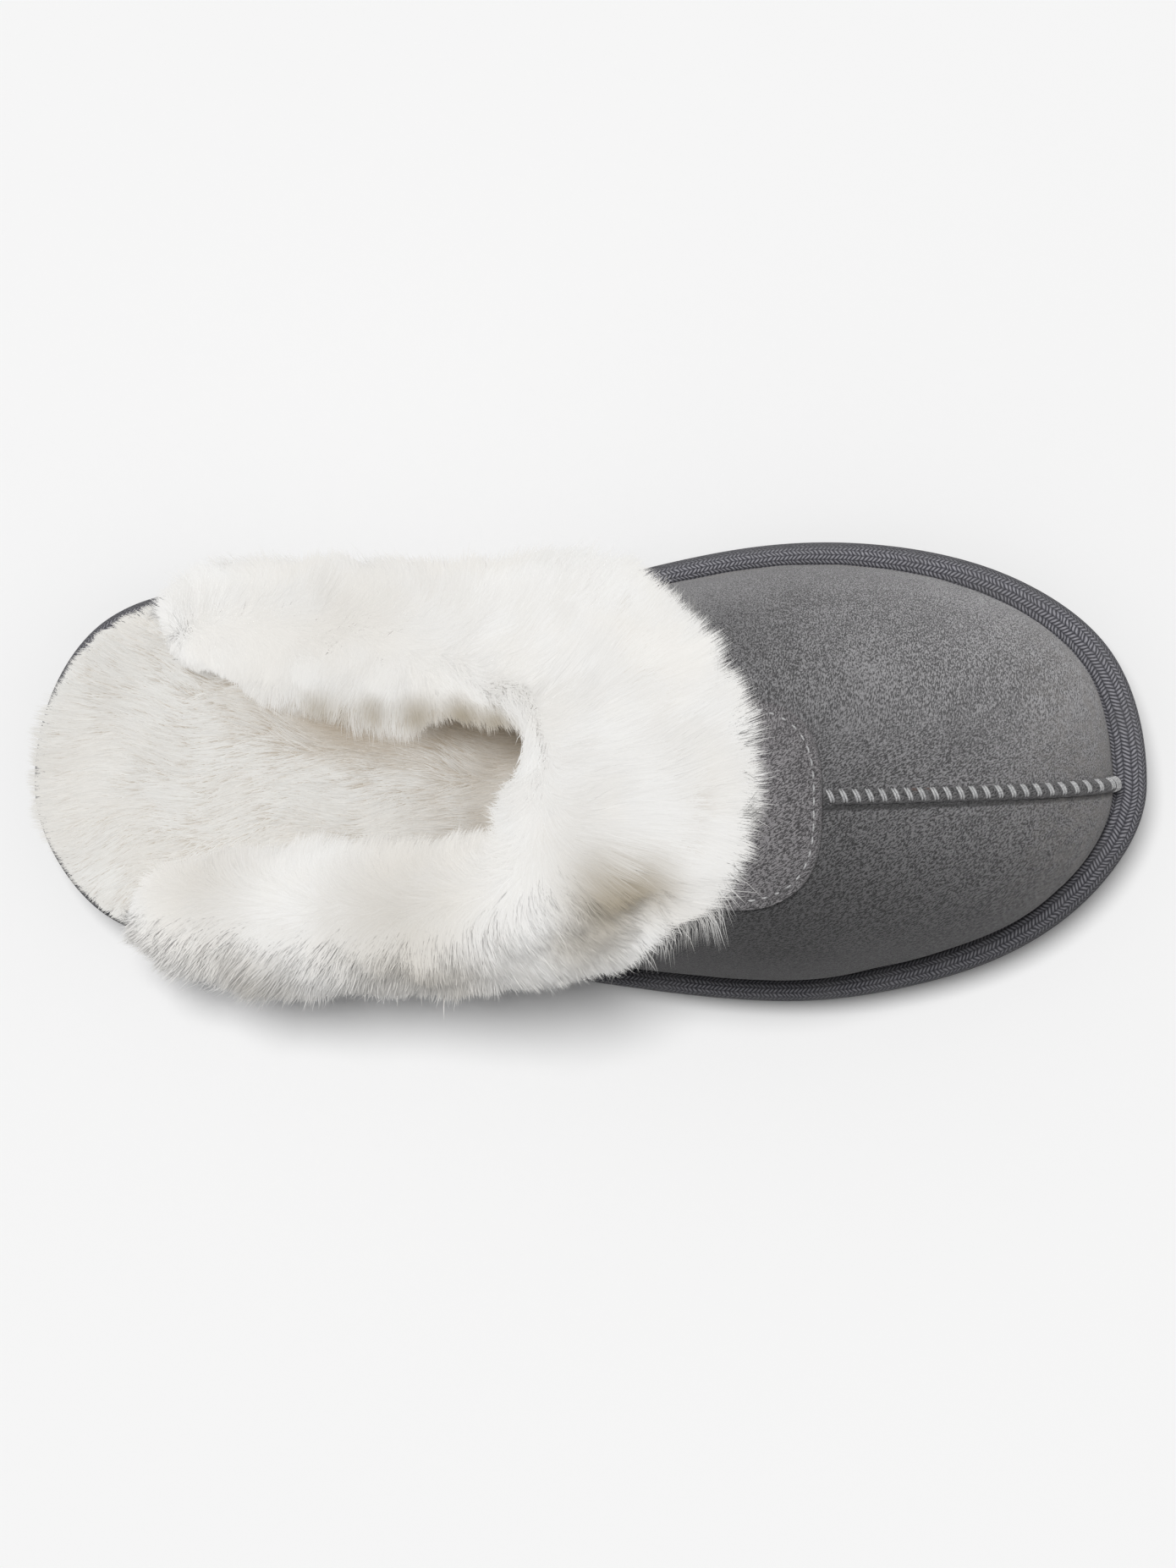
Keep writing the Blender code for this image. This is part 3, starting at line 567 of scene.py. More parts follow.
def tubes(paths, radius, sides=6):
    """Points and faces of round threads along paths, closed at both ends."""
    points, faces = [], []
    turns = np.linspace(0, 2 * math.pi, sides, endpoint=False)
    for path in paths:
        ahead = unit(np.gradient(path, axis=0))
        helper = np.where(np.abs(ahead[:, 2:3]) < 0.9, (0.0, 0.0, 1.0), (1.0, 0.0, 0.0))
        across = unit(np.cross(ahead, helper))
        up = np.cross(across, ahead)
        taper = np.sin(np.linspace(0.25, math.pi - 0.25, len(path))) ** 0.35
        faces.extend(closed_faces(len(path), sides, len(points)))
        for p, a, u, t in zip(path, across, up, taper):
            points.extend(p + radius * t * (math.cos(turn) * a + math.sin(turn) * u) for turn in turns)
    return np.array(points), faces


# Materials

class Wire:
    """What a node gives. Sums, products and so on with wires and numbers make further nodes."""

    def __init__(self, tree, socket):
        self.tree = tree
        self.socket = socket

    def __add__(self, other):
        return maths("ADD", self, other)

    def __sub__(self, other):
        return maths("SUBTRACT", self, other)

    def __mul__(self, other):
        return maths("MULTIPLY", self, other)

    def __truediv__(self, other):
        return maths("DIVIDE", self, other)


def add(tree, kind, inputs, output=0, **settings):
    """The wire of a new node whose inputs are linked where a wire is given and set where a value is."""
    node = tree.nodes.new(kind)
    for key, value in settings.items():
        setattr(node, key, value)
    for key, value in inputs.items():
        if isinstance(value, Wire):
            tree.links.new(value.socket, node.inputs[key])
        else:
            node.inputs[key].default_value = value
    return Wire(tree, node.outputs[output])


def new_material(name, roughness):
    """A material, its shader and the wire of places on the piece."""
    made = bpy.data.materials.new(name)
    made.use_nodes = True
    shader = made.node_tree.nodes["Principled BSDF"]
    shader.inputs["Roughness"].default_value = roughness
    shader.inputs["Specular IOR Level"].default_value = 0.2
    return made, shader, add(made.node_tree, "ShaderNodeTexCoord", {}, "Object")


def give(shader, key, wire):
    wire.tree.links.new(wire.socket, shader.inputs[key])


def maths(operation, a, b=0.0):
    return add(a.tree, "ShaderNodeMath", {0: a, 1: b}, operation=operation)


def parts(vector):
    """Wires of a vector's X, Y and Z."""
    node = add(vector.tree, "ShaderNodeSeparateXYZ", {0: vector}).socket.node
    return [Wire(vector.tree, socket) for socket in node.outputs]


def uv_parts(tree):
    return parts(add(tree, "ShaderNodeUVMap", {}))[:2]


def ranged(value, low, high, to_low=0.0, to_high=1.0):
    """A wire brought softly from one range to another."""
    inputs = {"Value": value, "From Min": low, "From Max": high, "To Min": to_low, "To Max": to_high}
    return add(value.tree, "ShaderNodeMapRange", inputs, interpolation_type="SMOOTHSTEP")


def mix(factor, a, b, blend="MIX"):
    return add(a.tree, "ShaderNodeMix", {0: factor, 6: a, 7: b}, 2, data_type="RGBA", blend_type=blend)


def tint(level, shares=(1.0, 1.0, 1.0)):
    """A colour: a level of light, and the shares of it that are red, green and blue."""
    return (*(level * share for share in shares), 1.0)


def noise(vector, size, detail=2.0, roughness=0.5):
    """Noise with lumps of about the given size in metres."""
    inputs = {"Vector": vector, "Scale": 1.0 / size, "Detail": detail, "Roughness": roughness}
    return add(vector.tree, "ShaderNodeTexNoise", inputs, "Fac")


def turned(vector, degrees, stretch):
    """Coordinates in which noise runs in strokes at an angle to X, longer than wide by the stretch."""
    inputs = {"Vector": vector, "Rotation": (0.0, 0.0, math.radians(degrees)), "Scale": (stretch, 1.0, 1.0)}
    return add(vector.tree, "ShaderNodeMapping", inputs, vector_type="TEXTURE")


def ramp(factor, *stops):
    wire = add(factor.tree, "ShaderNodeValToRGB", {"Fac": factor}, "Color")
    points = wire.socket.node.color_ramp.elements
    while len(points) < len(stops):
        points.new(0.5)
    for point, (position, colour) in zip(points, stops):
        point.position = position
        point.color = colour
    return wire


def spot(vector, centre, radius):
    """A soft round mask, 1 at a place in the last's frame and 0 beyond the radius."""
    here = tuple(float(v) for v in placed(centre))
    distance = add(vector.tree, "ShaderNodeVectorMath", {0: vector, 1: here}, "Value", operation="DISTANCE")
    return ranged(distance, radius, 0.0)


def set_bump(shader, height, strength, distance):
    inputs = {"Height": height, "Strength": strength, "Distance": distance}
    give(shader, "Normal", add(height.tree, "ShaderNodeBump", inputs, "Normal"))


def set_sheen(shader, weight, roughness, shares):
    shader.inputs["Sheen Weight"].default_value = weight
    shader.inputs["Sheen Roughness"].default_value = roughness
    shader.inputs["Sheen Tint"].default_value = tint(1.0, shares)


def suede_material(name, tone, warmth, nap_size, side_shade_tones, wear_and_shade=None):
    """Brushed suede: strokes of nap, up on the medial half and along on the lateral one, and pale fibres."""
    made, shader, where = new_material(name, 0.95)
    y = parts(where)[1]
    strokes_up = noise(turned(where, 78, 3.4), nap_size, 2.0, 0.6)
    strokes_along = noise(turned(where, 30, 2.8), nap_size, 2.0, 0.6)
    halves = {0: ranged(y, 0.004, 0.024), 2: strokes_along, 3: strokes_up}
    strokes = add(where.tree, "ShaderNodeMix", halves)
    patches = noise(turned(where, 40, 2.0), 0.0060, 4.0, 0.65)
    cloud = noise(where, 0.034)
    fibres = noise(turned(where, 75, 2.2), nap_size * 0.62, 1.0)
    crisp = ranged(strokes, 0.30, 0.70, -0.5, 0.5) * ranged(y, *NAP_MEETS, 1.50, 0.90)
    level = crisp + patches * 0.32 + cloud * 0.38 + 0.25
    stops = ((0.36, 0.46), (0.60, 1.0), (0.86, 1.75))
    colour = ramp(level, *((position, tint(tone * share, warmth)) for position, share in stops))
    pale = ranged(fibres, 0.58, 0.74) * ranged(y, *NAP_MEETS, 0.95, 0.45)
    colour = mix(pale, colour, tint(tone * 2.4))
    # Painted shade: darker on the lateral side than on the medial one
    colour = mix(1.0, colour, ranged(y, *SIDE_SHADE_SPAN, *side_shade_tones), "MULTIPLY")
    if wear_and_shade:
        colour = wear_and_shade(colour, where, strokes, tone)
    give(shader, "Base Color", colour)
    set_bump(shader, strokes + fibres * 0.45 + patches * 0.8, 0.80, 0.00035)
    set_sheen(shader, 0.22, 0.45, (0.80, 0.79, 0.80))
    return made


def vamp_wear_and_shade(colour, where, strokes, tone):
    """The vamp's smudges, worn strip at the feather line and dust, and painted shade by the cuff, beside its
    front and beside the seam.
    """
    x, y, _ = parts(where)
    station, climb = uv_parts(where.tree)
    # Painted shade: darker by the cuff than at the toe
    colour = mix(1.0, colour, ranged(x, *CUFF_SHADE_SPAN, *CUFF_SHADE_TONES), "MULTIPLY")
    # Smudges, a darker patch, and painted shade of the fur beside the lateral cuff's front
    for *centre, radius, strength in SMUDGES_AND_FUR_SHADE:
        colour = mix(spot(where, centre, radius) * strength, colour, tint(tone, (0.42, 0.41, 0.42)))
    broken = noise(turned(where, 0, 3.0), 0.0030, 3.0, 0.7)
    strip = ranged(climb + (broken - 0.5) * 0.16, 0.15, 0.03, 0.0, 0.65)
    strip = strip * ranged(strokes, 0.36, 0.64, 0.30, 1.0)
    colour = mix(strip, colour, tint(tone, (1.75, 1.58, 1.44)))
    beside_seam = maths("ABSOLUTE", y + SEAM_SHADE[0])
    shade = ranged(beside_seam, SEAM_SHADE[1], 0.0002, 0.0, 0.75) * ranged(x, 0.049, 0.054)
    colour = mix(shade, colour, tint(tone * 0.30))
    dust = ranged(station, 0.84, 0.985, 0.0, 0.45) * ranged(broken, 0.35, 0.65)
    return mix(dust, colour, tint(tone, (1.80, 1.68, 1.56)))


def rusty_seam(colour, where, *_):
    """The seam's wear: two small stains of rust."""
    ridge = ridge_frame(station_angle(np.array(RUST_SPECKS) / LENGTH))[0]
    for speck in ridge + np.array(SPECK_OFFSET):
        colour = mix(spot(where, speck, SPECK_RADIUS) * 0.9, colour, (0.13, 0.06, 0.04, 1.0))
    return colour


def tape_material():
    """Herringbone tape: columns of slanting yarns whose slant changes from column to column."""
    column_width, yarn_pitch = 0.00112, 0.00100
    made, shader, where = new_material("woven_tape_look", 0.82)
    along, across = uv_parts(where.tree)
    loose = (noise(where, 0.0022) - 0.5) * 0.0011
    column = (across + loose * 0.5) / column_width
    within = maths("FRACT", column)
    slant = maths("MODULO", maths("FLOOR", column), 2.0) * 2.0 - 1.0
    yarn = maths("FRACT", (along + loose) / yarn_pitch + (within - 0.5) * slant * 1.05)
    round_column = maths("POWER", maths("SINE", within * math.pi), 0.35)
    height = maths("SINE", yarn * math.pi) * round_column
    fuzz = noise(where, 0.00035)
    dust = noise(where, 0.012, 3.0)
    # The yarns' colour follows their height: painted shade in the gaps between them and painted light on
    # their crowns
    colour = ramp(
        height * 0.75 + fuzz * 0.35,
        (0.15, (0.032, 0.032, 0.037, 1.0)),
        (0.55, (0.118, 0.117, 0.134, 1.0)),
        (0.95, (0.345, 0.341, 0.370, 1.0)),
    )
    # Painted shade: the tape darker where it faces sideways than where it faces up
    facing_up = parts(add(where.tree, "ShaderNodeNewGeometry", {}, "Normal"))[2]
    colour = mix(1.0, colour, ranged(facing_up, 0.25, 0.90, 0.55, 1.0), "MULTIPLY")
    # Painted shade: the tape darker on the lateral side than on the medial one
    colour = mix(1.0, colour, ranged(parts(where)[1], *TAPE_SHADE_SPAN, *TAPE_SHADE_TONES), "MULTIPLY")
    colour = mix(ranged(dust, 0.45, 0.75, 0.0, 0.30), colour, (0.13, 0.128, 0.13, 1.0))
    give(shader, "Base Color", colour)
    set_bump(shader, height + fuzz * 0.25, 0.8, 0.00035)
    set_sheen(shader, 0.12, 0.5, (0.8, 0.8, 0.85))
    return made


def rubber_material():
    made, shader, where = new_material("rubber_look", 0.68)
    grain = noise(where, 0.0006, 3.0)
    dust = noise(where, 0.018, 4.0, 0.6)
    colour = ramp(dust, (0.35, (0.036, 0.036, 0.040, 1.0)), (0.72, (0.085, 0.083, 0.080, 1.0)))
    give(shader, "Base Color", colour)
    give(shader, "Roughness", ranged(dust, 0.3, 0.7, 0.58, 0.85))
    set_bump(shader, grain, 0.35, 0.0003)
    return made


def thread_material():
    made, shader, where = new_material("thread_look", 0.6)
    twist = noise(turned(where, 35, 3.0), 0.00022)
    give(shader, "Base Color", ramp(twist, (0.30, (0.24, 0.24, 0.25, 1.0)), (0.62, tint(0.60))))
    set_bump(shader, twist, 0.6, 0.0001)
    return made


def fur_material(name, root, tip, warm, shade_spots=()):
    """Hairs that pale from root to tip, with roots partly painted shade deep in the fur, each a little
    different, with faint warm patches and spots of painted shade.
    """
    made, shader, where = new_material(name, 0.75)
    own, along = uv_parts(where.tree)
    # Roots darker and warmer: partly the fur's own roots, partly painted shade deep in the fur
    colour = ramp(along, (0.0, tint(1.0, root)), (0.55, tint(1.0, tip)))
    colour = mix(ranged(own, 0.0, 1.0, 0.0, 0.18), colour, tint(1.0, root))
    colour = mix(ranged(noise(where, 0.022), 0.42, 0.68, 0.0, 0.50), colour, tint(1.0, warm))
    for *centre, radius, strength in shade_spots:
        colour = mix(spot(where, centre, radius) * strength, colour, (0.38, 0.33, 0.25, 1.0))
    give(shader, "Base Color", colour)
    set_sheen(shader, 0.15, 0.4, (1.0, 1.0, 1.0))
    return made


# Sole

def loop_angles(count):
    """Sides and angles once round the outline: from the heel by the lateral side to the toe and back."""
    angle = np.linspace(0, math.pi, count)
    sides = np.concatenate((np.full(count, LATERAL), np.full(count - 2, MEDIAL)))
    return sides, np.concatenate((angle, angle[-2:0:-1]))


def ring_round(sides, angles, inset, height, lift=0.0):
    """A ring once round the outline, at a height that depends on X and a lift over it."""
    x, y = outline_point(sides, angles, inset)
    return np.stack((x, y, height(x) + lift), axis=-1)


def slab_piece(name, rings, count, material):
    """A closed slab from rings round the outline, bottom to top, with UVs in metres round and across."""
    rings = np.array(rings)
    rows, columns = rings.shape[:2]
    around = np.linalg.norm(np.diff(rings[rows // 2], axis=0, append=rings[rows // 2][:1]), axis=1)
    u = np.concatenate(((0.0,), np.cumsum(around)[:-1]))
    v = np.concatenate(((0.0,), np.cumsum(np.linalg.norm(np.diff(rings[:, columns // 4], axis=0), axis=1))))
    uv = np.stack(np.broadcast_arrays(u[None, :], v[:, None]), axis=-1).reshape(-1, 2)
    faces = grid_faces(rows, columns, wrap=True)
    for row in (0, rows - 1):
        for i in range(count - 1):
            near, far = (columns - i) % columns, columns - i - 1
            corners = (i, i + 1, far if i + 1 < count - 1 else i + 1, near)
            faces.append(tuple(dict.fromkeys(row * columns + c for c in corners)))
    faces = [face for face in faces if len(face) > 2]
    return new_piece(name, rings.reshape(-1, 3), faces, material, uv)


def build_outsole():
    """Rubber outsole with its tread grooves."""
    count = 90
    loop = loop_angles(count)
    edge = (
        # inset, lift over the bottom
        (0.0030, 0.0), (0.0016, 0.0004), (0.0006, 0.0012), (0.0, 0.0028),
    )
    rings = [ring_round(*loop, OUTSOLE_INSET + inset, sole_bottom, lift) for inset, lift in edge]
    rings += [ring_round(*loop, OUTSOLE_INSET + inset, outsole_top) for inset in (0.0, 0.004)]
    obj = slab_piece("rubber_outsole", rings, count, rubber_material())
    cutter = groove_bars()
    cut = obj.modifiers.new("grooves", "BOOLEAN")
    cut.operation = "DIFFERENCE"
    cut.object = cutter
    bpy.context.view_layer.update()
    made = bpy.data.meshes.new_from_object(obj.evaluated_get(bpy.context.evaluated_depsgraph_get()))
    obj.modifiers.remove(cut)
    obj.data = made
    made.set_sharp_from_angle(angle=math.radians(40))
    bpy.data.objects.remove(cutter)
    dress(obj, "outsole_rubber", "outsole")


def groove_bars():
    """Bars across the tread zones, one for each groove."""
    work = bmesh.new()
    for start, end in TREAD_ZONES:
        for n in range(int((end - start) * LENGTH / GROOVE_PITCH) + 1):
            bar = bmesh.ops.create_cube(work, size=1.0)["verts"]
            x, y, _ = placed((start * LENGTH + n * GROOVE_PITCH, 0.0, 0.0))
            bmesh.ops.scale(work, vec=(GROOVE_WIDTH, 2 * BALL_WIDTH, 2 * GROOVE_DEPTH), verts=bar)
            bmesh.ops.translate(work, vec=(x, y, 0.0), verts=bar)
    mesh = bpy.data.meshes.new("groove_bars")
    work.to_mesh(mesh)
    work.free()
    return shown("groove_bars", mesh)


def build_midsole():
    """Platform wrapped in woven tape, its rim a soft roll that dips to the suede's feather line."""
    count = 150
    loop = loop_angles(count)
    lower = (
        # inset, lift over the outsole
        (0.0022, 0.0), (0.0010, 0.0005), (0.0002, 0.0016), (0.0, 0.0030),
    )
    roll = (
        # share of the ledge, lift over the platform
        (0.00, -0.0046), (0.01, -0.0032), (0.06, -0.0018), (0.15, -0.0005), (0.28, 0.0004),
        (0.45, 0.0008), (0.62, 0.0007), (0.78, 0.0002), (0.90, -0.0004), (1.00, -0.0010),
    )
    ledge = feather_ledge(loop[1]) + 0.0007
    rings = [ring_round(*loop, inset, outsole_top, GAP + lift) for inset, lift in lower]
    rings += [ring_round(*loop, share * ledge, platform, lift) for share, lift in roll]
    obj = slab_piece("tape_wrapped_midsole", rings, count, tape_material())
    dress(obj, "woven_tape", "wrapped_midsole")


# Upper

def upper_grid(side, rear_rows, front_rows, columns):
    """Angles and climbs of one side of the upper, from its rear end to the toe tip."""
    behind = THROAT - (THROAT - REAR[side]) * (1 - np.linspace(0, 1, rear_rows)) ** 1.7
    front = np.linspace(station_angle(THROAT), math.pi, front_rows)
    angles = np.concatenate((station_angle(behind), front[1:]))
    tops = np.concatenate((top_climb(behind), np.full(front_rows - 1, math.pi / 2)))
    shares = np.linspace(0, 1, columns)
    return angles[:, None] + 0 * shares, tops[:, None] * shares


def vamp_relief(side, angles, climbs, outer):
    """How far the suede sinks: soft creases, puckers above the feather line and slight waves."""
    foot = np.exp(-((climbs / 0.16) ** 2)) * smoothstep(0.0, 0.06, climbs)
    around = np.sin(angles * PUCKERS) + 0.5 * np.sin(angles * PUCKERS * 0.61 + side)
    sink = trough(outer, VAMP_CREASES) + PUCKER_DEPTH * around * foot
    return sink + 0.00025 * ripple(outer, 0.030, 5) * smoothstep(0.0, 0.3, climbs)


def build_upper():
    """The suede upper: one wall, open underneath and behind, whose two sides meet at the ridge."""
    suede = suede_material("suede_look", 0.131, (1.0, 0.985, 1.01), 0.00031, SIDE_SHADE_TONES, vamp_wear_and_shade)
    rear_rows, front_rows, columns = 26, 84, 46
    width = 2 * columns
    points, faces, uv = [], [], []
    for side in (LATERAL, MEDIAL):
        angles, climbs = upper_grid(side, rear_rows, front_rows, columns)
        outer = upper_point(side, angles, climbs)
        relief = vamp_relief(side, angles, climbs, outer)
        outer = outer - upper_normal(side, angles, climbs) * relief[..., None]
        inner = upper_point(side, angles, climbs, WALL)
        first = sum(len(p) for p in points)
        points.append(np.concatenate((outer, inner[:, ::-1]), axis=1).reshape(-1, 3))
        pair = np.stack(((1 - np.cos(angles)) / 2, climbs / (math.pi / 2)), axis=-1)
        uv.append(np.concatenate((pair, pair[:, ::-1]), axis=1).reshape(-1, 2))
        for face in grid_faces(len(angles), width, wrap=True):
            at_ridge = {v % width for v in face} == {columns - 1, columns}
            if not (at_ridge and min(face) // width >= rear_rows - 1):
                faces.append(tuple(first + v for v in face))
        faces.append(tuple(first + v for v in range(width)))
    obj = new_piece("suede_upper", np.concatenate(points), faces, suede, np.concatenate(uv))
    dress(obj, "suede", "upper")


def patch_outline(a, margin):
    """Length of the patch at a share of its half width, for a patch drawn in by a margin."""
    round_end = np.maximum(1 - np.abs(a) ** PATCH_ROUNDNESS, 0.0) ** (1 / PATCH_ROUNDNESS)
    return (PATCH_FRONT - margin - PATCH_BACK) * np.maximum(PATCH_SIDE, round_end)


def build_patch():
    """D-shaped suede patch with rounded edges, drawn in a little under its stitches."""
    # The patch is painted darker on its lateral side too, but less
    suede = suede_material("patch_look", 0.160, (1.0, 0.955, 0.985), 0.00030, (0.86, 1.16))
    columns, rows = 61, 25
    a = np.sin(np.linspace(-math.pi / 2, math.pi / 2, columns))[:, None]
    b = np.linspace(0, 1, rows)[None, :]
    x = PATCH_BACK + patch_outline(a, 0.0) * b
    y = PATCH_CENTRE_Y + PATCH_HALF_WIDTH * a + 0 * b
    near_edge = np.minimum((1 - np.abs(a)) * PATCH_HALF_WIDTH, (1 - b) * patch_outline(a, 0.0))
    inside = np.clip(near_edge / PATCH_EDGE, 0.0, 1.0)
    rounding = np.sqrt(inside * (2 - inside))
    stitched = np.exp(-(((near_edge - PATCH_STITCH_INSET) / 0.0008) ** 2))
    top = on_upper(x, y, PATCH_LIFT + PATCH_THICKNESS * (0.35 + 0.65 * rounding) - 0.00035 * stitched)
    bottom = on_upper(x, y, np.full(x.shape, -0.0002))
    uv = np.stack((x / LENGTH, 0 * x), axis=-1)
    loop = np.concatenate((top, bottom[:, ::-1]), axis=1)
    both = np.concatenate((uv, uv[:, ::-1]), axis=1).reshape(-1, 2)
    obj = new_piece("suede_patch", loop.reshape(-1, 3), closed_faces(columns, 2 * rows), suede, both)
    dress(obj, "patch_suede", "throat_patch")


def build_patch_stitches(thread):
    """White running stitch just inside the patch's edge."""
    a = np.linspace(-0.985, 0.985, 900)
    x = PATCH_BACK + patch_outline(a, PATCH_STITCH_INSET)
    y = PATCH_CENTRE_Y + (PATCH_HALF_WIDTH - PATCH_STITCH_INSET) * a
    walked = np.concatenate(((0.0,), np.cumsum(np.hypot(np.diff(x), np.diff(y)))))
    lift = PATCH_LIFT + PATCH_THICKNESS - 0.00055 + 0.00050 * np.sin(np.linspace(0, math.pi, 7))
    paths = []
    for start in np.arange(0.0, walked[-1] - PATCH_STITCH, PATCH_STITCH + PATCH_STITCH_GAP):
        at = start + np.linspace(0, PATCH_STITCH, 7)
        paths.append(on_upper(np.interp(at, walked, x), np.interp(at, walked, y), lift))
    dress(new_piece("patch_stitches", *tubes(paths, THREAD_RADIUS), thread), "seam_suede")


def ridge_frame(angle):
    """Points of the seam's line on the vamp's ridge, with their normals."""
    top = np.full(np.shape(angle), math.pi / 2)
    normal = unit(upper_normal(MEDIAL, angle, top) + upper_normal(LATERAL, angle, top))
    return upper_point(MEDIAL, angle, top) + np.array((0.0, SEAM_SHIFT, 0.0)), normal


def stitch_angles():
    """Angles of the whip stitches, evenly spaced in plan."""
    fine = np.linspace(station_angle(SEAM_FROM / LENGTH), math.pi - SEAM_TOE_ANGLE, 400)
    x = ridge_frame(fine)[0][:, 0]
    return np.interp(np.linspace(x[0] + 0.0009, x[-1] - 0.0022, WHIP_STITCHES), x, fine)


def build_seam():
    """Raised centre seam: a bead along the ridge that swells between its stitches."""
    suede = suede_material("seam_look", 0.100, (1.0, 0.985, 1.0), 0.00030, (1.0, 1.0), rusty_seam)
    angles = np.linspace(station_angle(SEAM_FROM / LENGTH) - 0.004, math.pi - SEAM_TOE_ANGLE + 0.02, 260)
    ridge, normal = ridge_frame(angles)
    stitched = np.abs(angles[:, None] - stitch_angles()[None, :]).min(axis=1)
    pitch = np.diff(stitch_angles()).mean()
    swell = 0.90 + 0.12 * smoothstep(0.10 * pitch, 0.42 * pitch, stitched)
    ends = np.minimum(np.arange(len(angles)), np.arange(len(angles))[::-1])
    swell = swell * np.sqrt(np.clip((ends + 0.4) / 6, 0, 1))
    rings = []
    for turn in np.linspace(-0.15, math.pi + 0.15, 13):
        over = np.sign(math.sin(turn)) * abs(math.sin(turn)) ** 0.8
        offset = np.array((0.0, 1.0, 0.0)) * math.cos(turn) * SEAM_WIDTH / 2 + normal * SEAM_HEIGHT * over
        rings.append(ridge + offset * swell[:, None])
    points = np.stack(rings, axis=1).reshape(-1, 3)
    uv = np.zeros((len(points), 2))
    obj = new_piece("seam_bead", points, closed_faces(len(angles), len(rings)), suede, uv)
    dress(obj, "seam_suede", "centre_seam")


def build_whip_stitches(thread):
    """Pairs of white threads slanting over the seam, and more of them round its end at the toe."""
    angles = stitch_angles()
    metres_per_angle = LENGTH * np.sin(angles) / 2
    pairs = zip(angles, metres_per_angle)
    wraps = [(angle, scale, shift, 2.10) for angle, scale in pairs for shift in (-0.5, 0.5)]
    wraps += [(angles[-1], metres_per_angle[-1], shift, 2.7) for shift in TOE_WRAPS]
    paths = []
    for angle, scale, shift, last_turn in wraps:
        turns = np.linspace(0.40, last_turn, 13)
        share = np.cos(turns)
        here = angle + (shift * WHIP_GAP - WHIP_SLANT / 2 * share) / scale
        ridge, normal = ridge_frame(np.minimum(here, math.pi - 0.02))
        over = np.abs(np.sin(turns)) ** 0.8
        sunk = 0.0004 * smoothstep(last_turn - 0.35, last_turn, turns)
        offset = np.array((0.0, 1.0, 0.0)) * (share * (SEAM_WIDTH / 2 + 0.00016))[:, None]
        lift = SEAM_HEIGHT * over * 0.93 + 0.00018 - sunk
        paths.append(ridge + offset + normal * lift[:, None])
    dress(new_piece("whip_stitches", *tubes(paths, WHIP_RADIUS), thread), "seam_suede")


# Fur

def scatter(count, random, weights):
    """Random cells of a grid, picked by weight, with a place inside each."""
    cells = random.choice(weights.size, size=count, p=(weights / weights.sum()).ravel())
    row, column = np.divmod(cells, weights.shape[1])
    return row, column, random.random(count), random.random(count)


def cell_weights(points, keep, wrap):
    """Areas of a grid's cells, where keep allows hairs."""
    right = np.roll(points, -1, axis=1) if wrap else points[:, 1:]
    left = points if wrap else points[:, :-1]
    area = np.linalg.norm(np.cross(right[1:] - left[:-1], left[1:] - right[:-1]), axis=-1) / 2
    keep = keep if wrap else keep[:, :-1]
    return area * keep[:-1]


def sample(field, row, column, a, b):
    """Values of a grid's field at places inside its cells."""
    next_column = (column + 1) % field.shape[1]
    if field.ndim == 3:
        a, b = a[:, None], b[:, None]
    near = field[row, column] * (1 - b) + field[row, next_column] * b
    far = field[row + 1, column] * (1 - b) + field[row + 1, next_column] * b
    return near * (1 - a) + far * a


def clump_of(roots, random, spacing):
    """For each root, the index of a nearby root that its clump gathers to."""
    cell = np.floor(roots / spacing).astype(np.int64)
    key = cell[:, 0] * 4000003 + cell[:, 1] * 2003 + cell[:, 2]
    order = random.permutation(len(roots))
    _, first = np.unique(key[order], return_index=True)
    seeds = order[first]
    tree = kdtree.KDTree(len(seeds))
    for seed in seeds:
        tree.insert(roots[seed], int(seed))
    tree.balance()
    jittered = roots + random.normal(scale=spacing * 0.15, size=roots.shape)
    return np.array([tree.find(root)[1] for root in jittered])


def toned(along, tone):
    """The place of a hair's point between the colours of roots and tips."""
    return along * np.minimum(tone, 1.0) + np.maximum(tone - 1.0, 0.0)


def hair_lines(root, up, comb, length, lowered, lean, clumps, random):
    """Middles and tips of hairs that bend from one lean to another and gather in tufts and locks."""
    first, last = (np.radians(angle) * lowered for angle in lean)
    middle = root + (up * np.cos(first) + comb * np.sin(first)) * length * 0.52
    tip = middle + (up * np.cos(last) + comb * np.sin(last)) * length * 0.48
    scattered = random.normal(scale=0.00030, size=root.shape)
    for clump, most in zip(clumps, (0.55, 0.30)):
        pull = random.uniform(0.10, most, size=(len(root), 1))[clump]
        tip = tip + (tip[clump] + scattered - tip) * pull
        middle = middle + (middle[clump] - middle) * pull * 0.42
    return middle, tip


def ribbons(root, middle, tip, up, random):
    """Five points of each hair, with its front turned up, and its heading."""
    count = len(root)
    root = root - up * HAIR_ROOT
    heading = unit(tip - root)
    flat = unit(np.cross(heading, up))
    edgewise = np.cross(heading, flat)
    roll = random.uniform(-0.7, 0.7, size=(count, 1))
    width = (flat * np.cos(roll) + edgewise * np.sin(roll)) * HAIR_WIDTH
    width = width * random.uniform(0.7, 1.3, size=(count, 1))
    front = (np.cross(width, heading) * (up * FRONTS_TURN + UPWARD)).sum(axis=1, keepdims=True)
    width = width * np.where(front < 0, -1.0, 1.0)
    narrow = width * 0.42
    return np.stack((root - width / 2, root + width / 2, middle - narrow, middle + narrow, tip), 1), heading


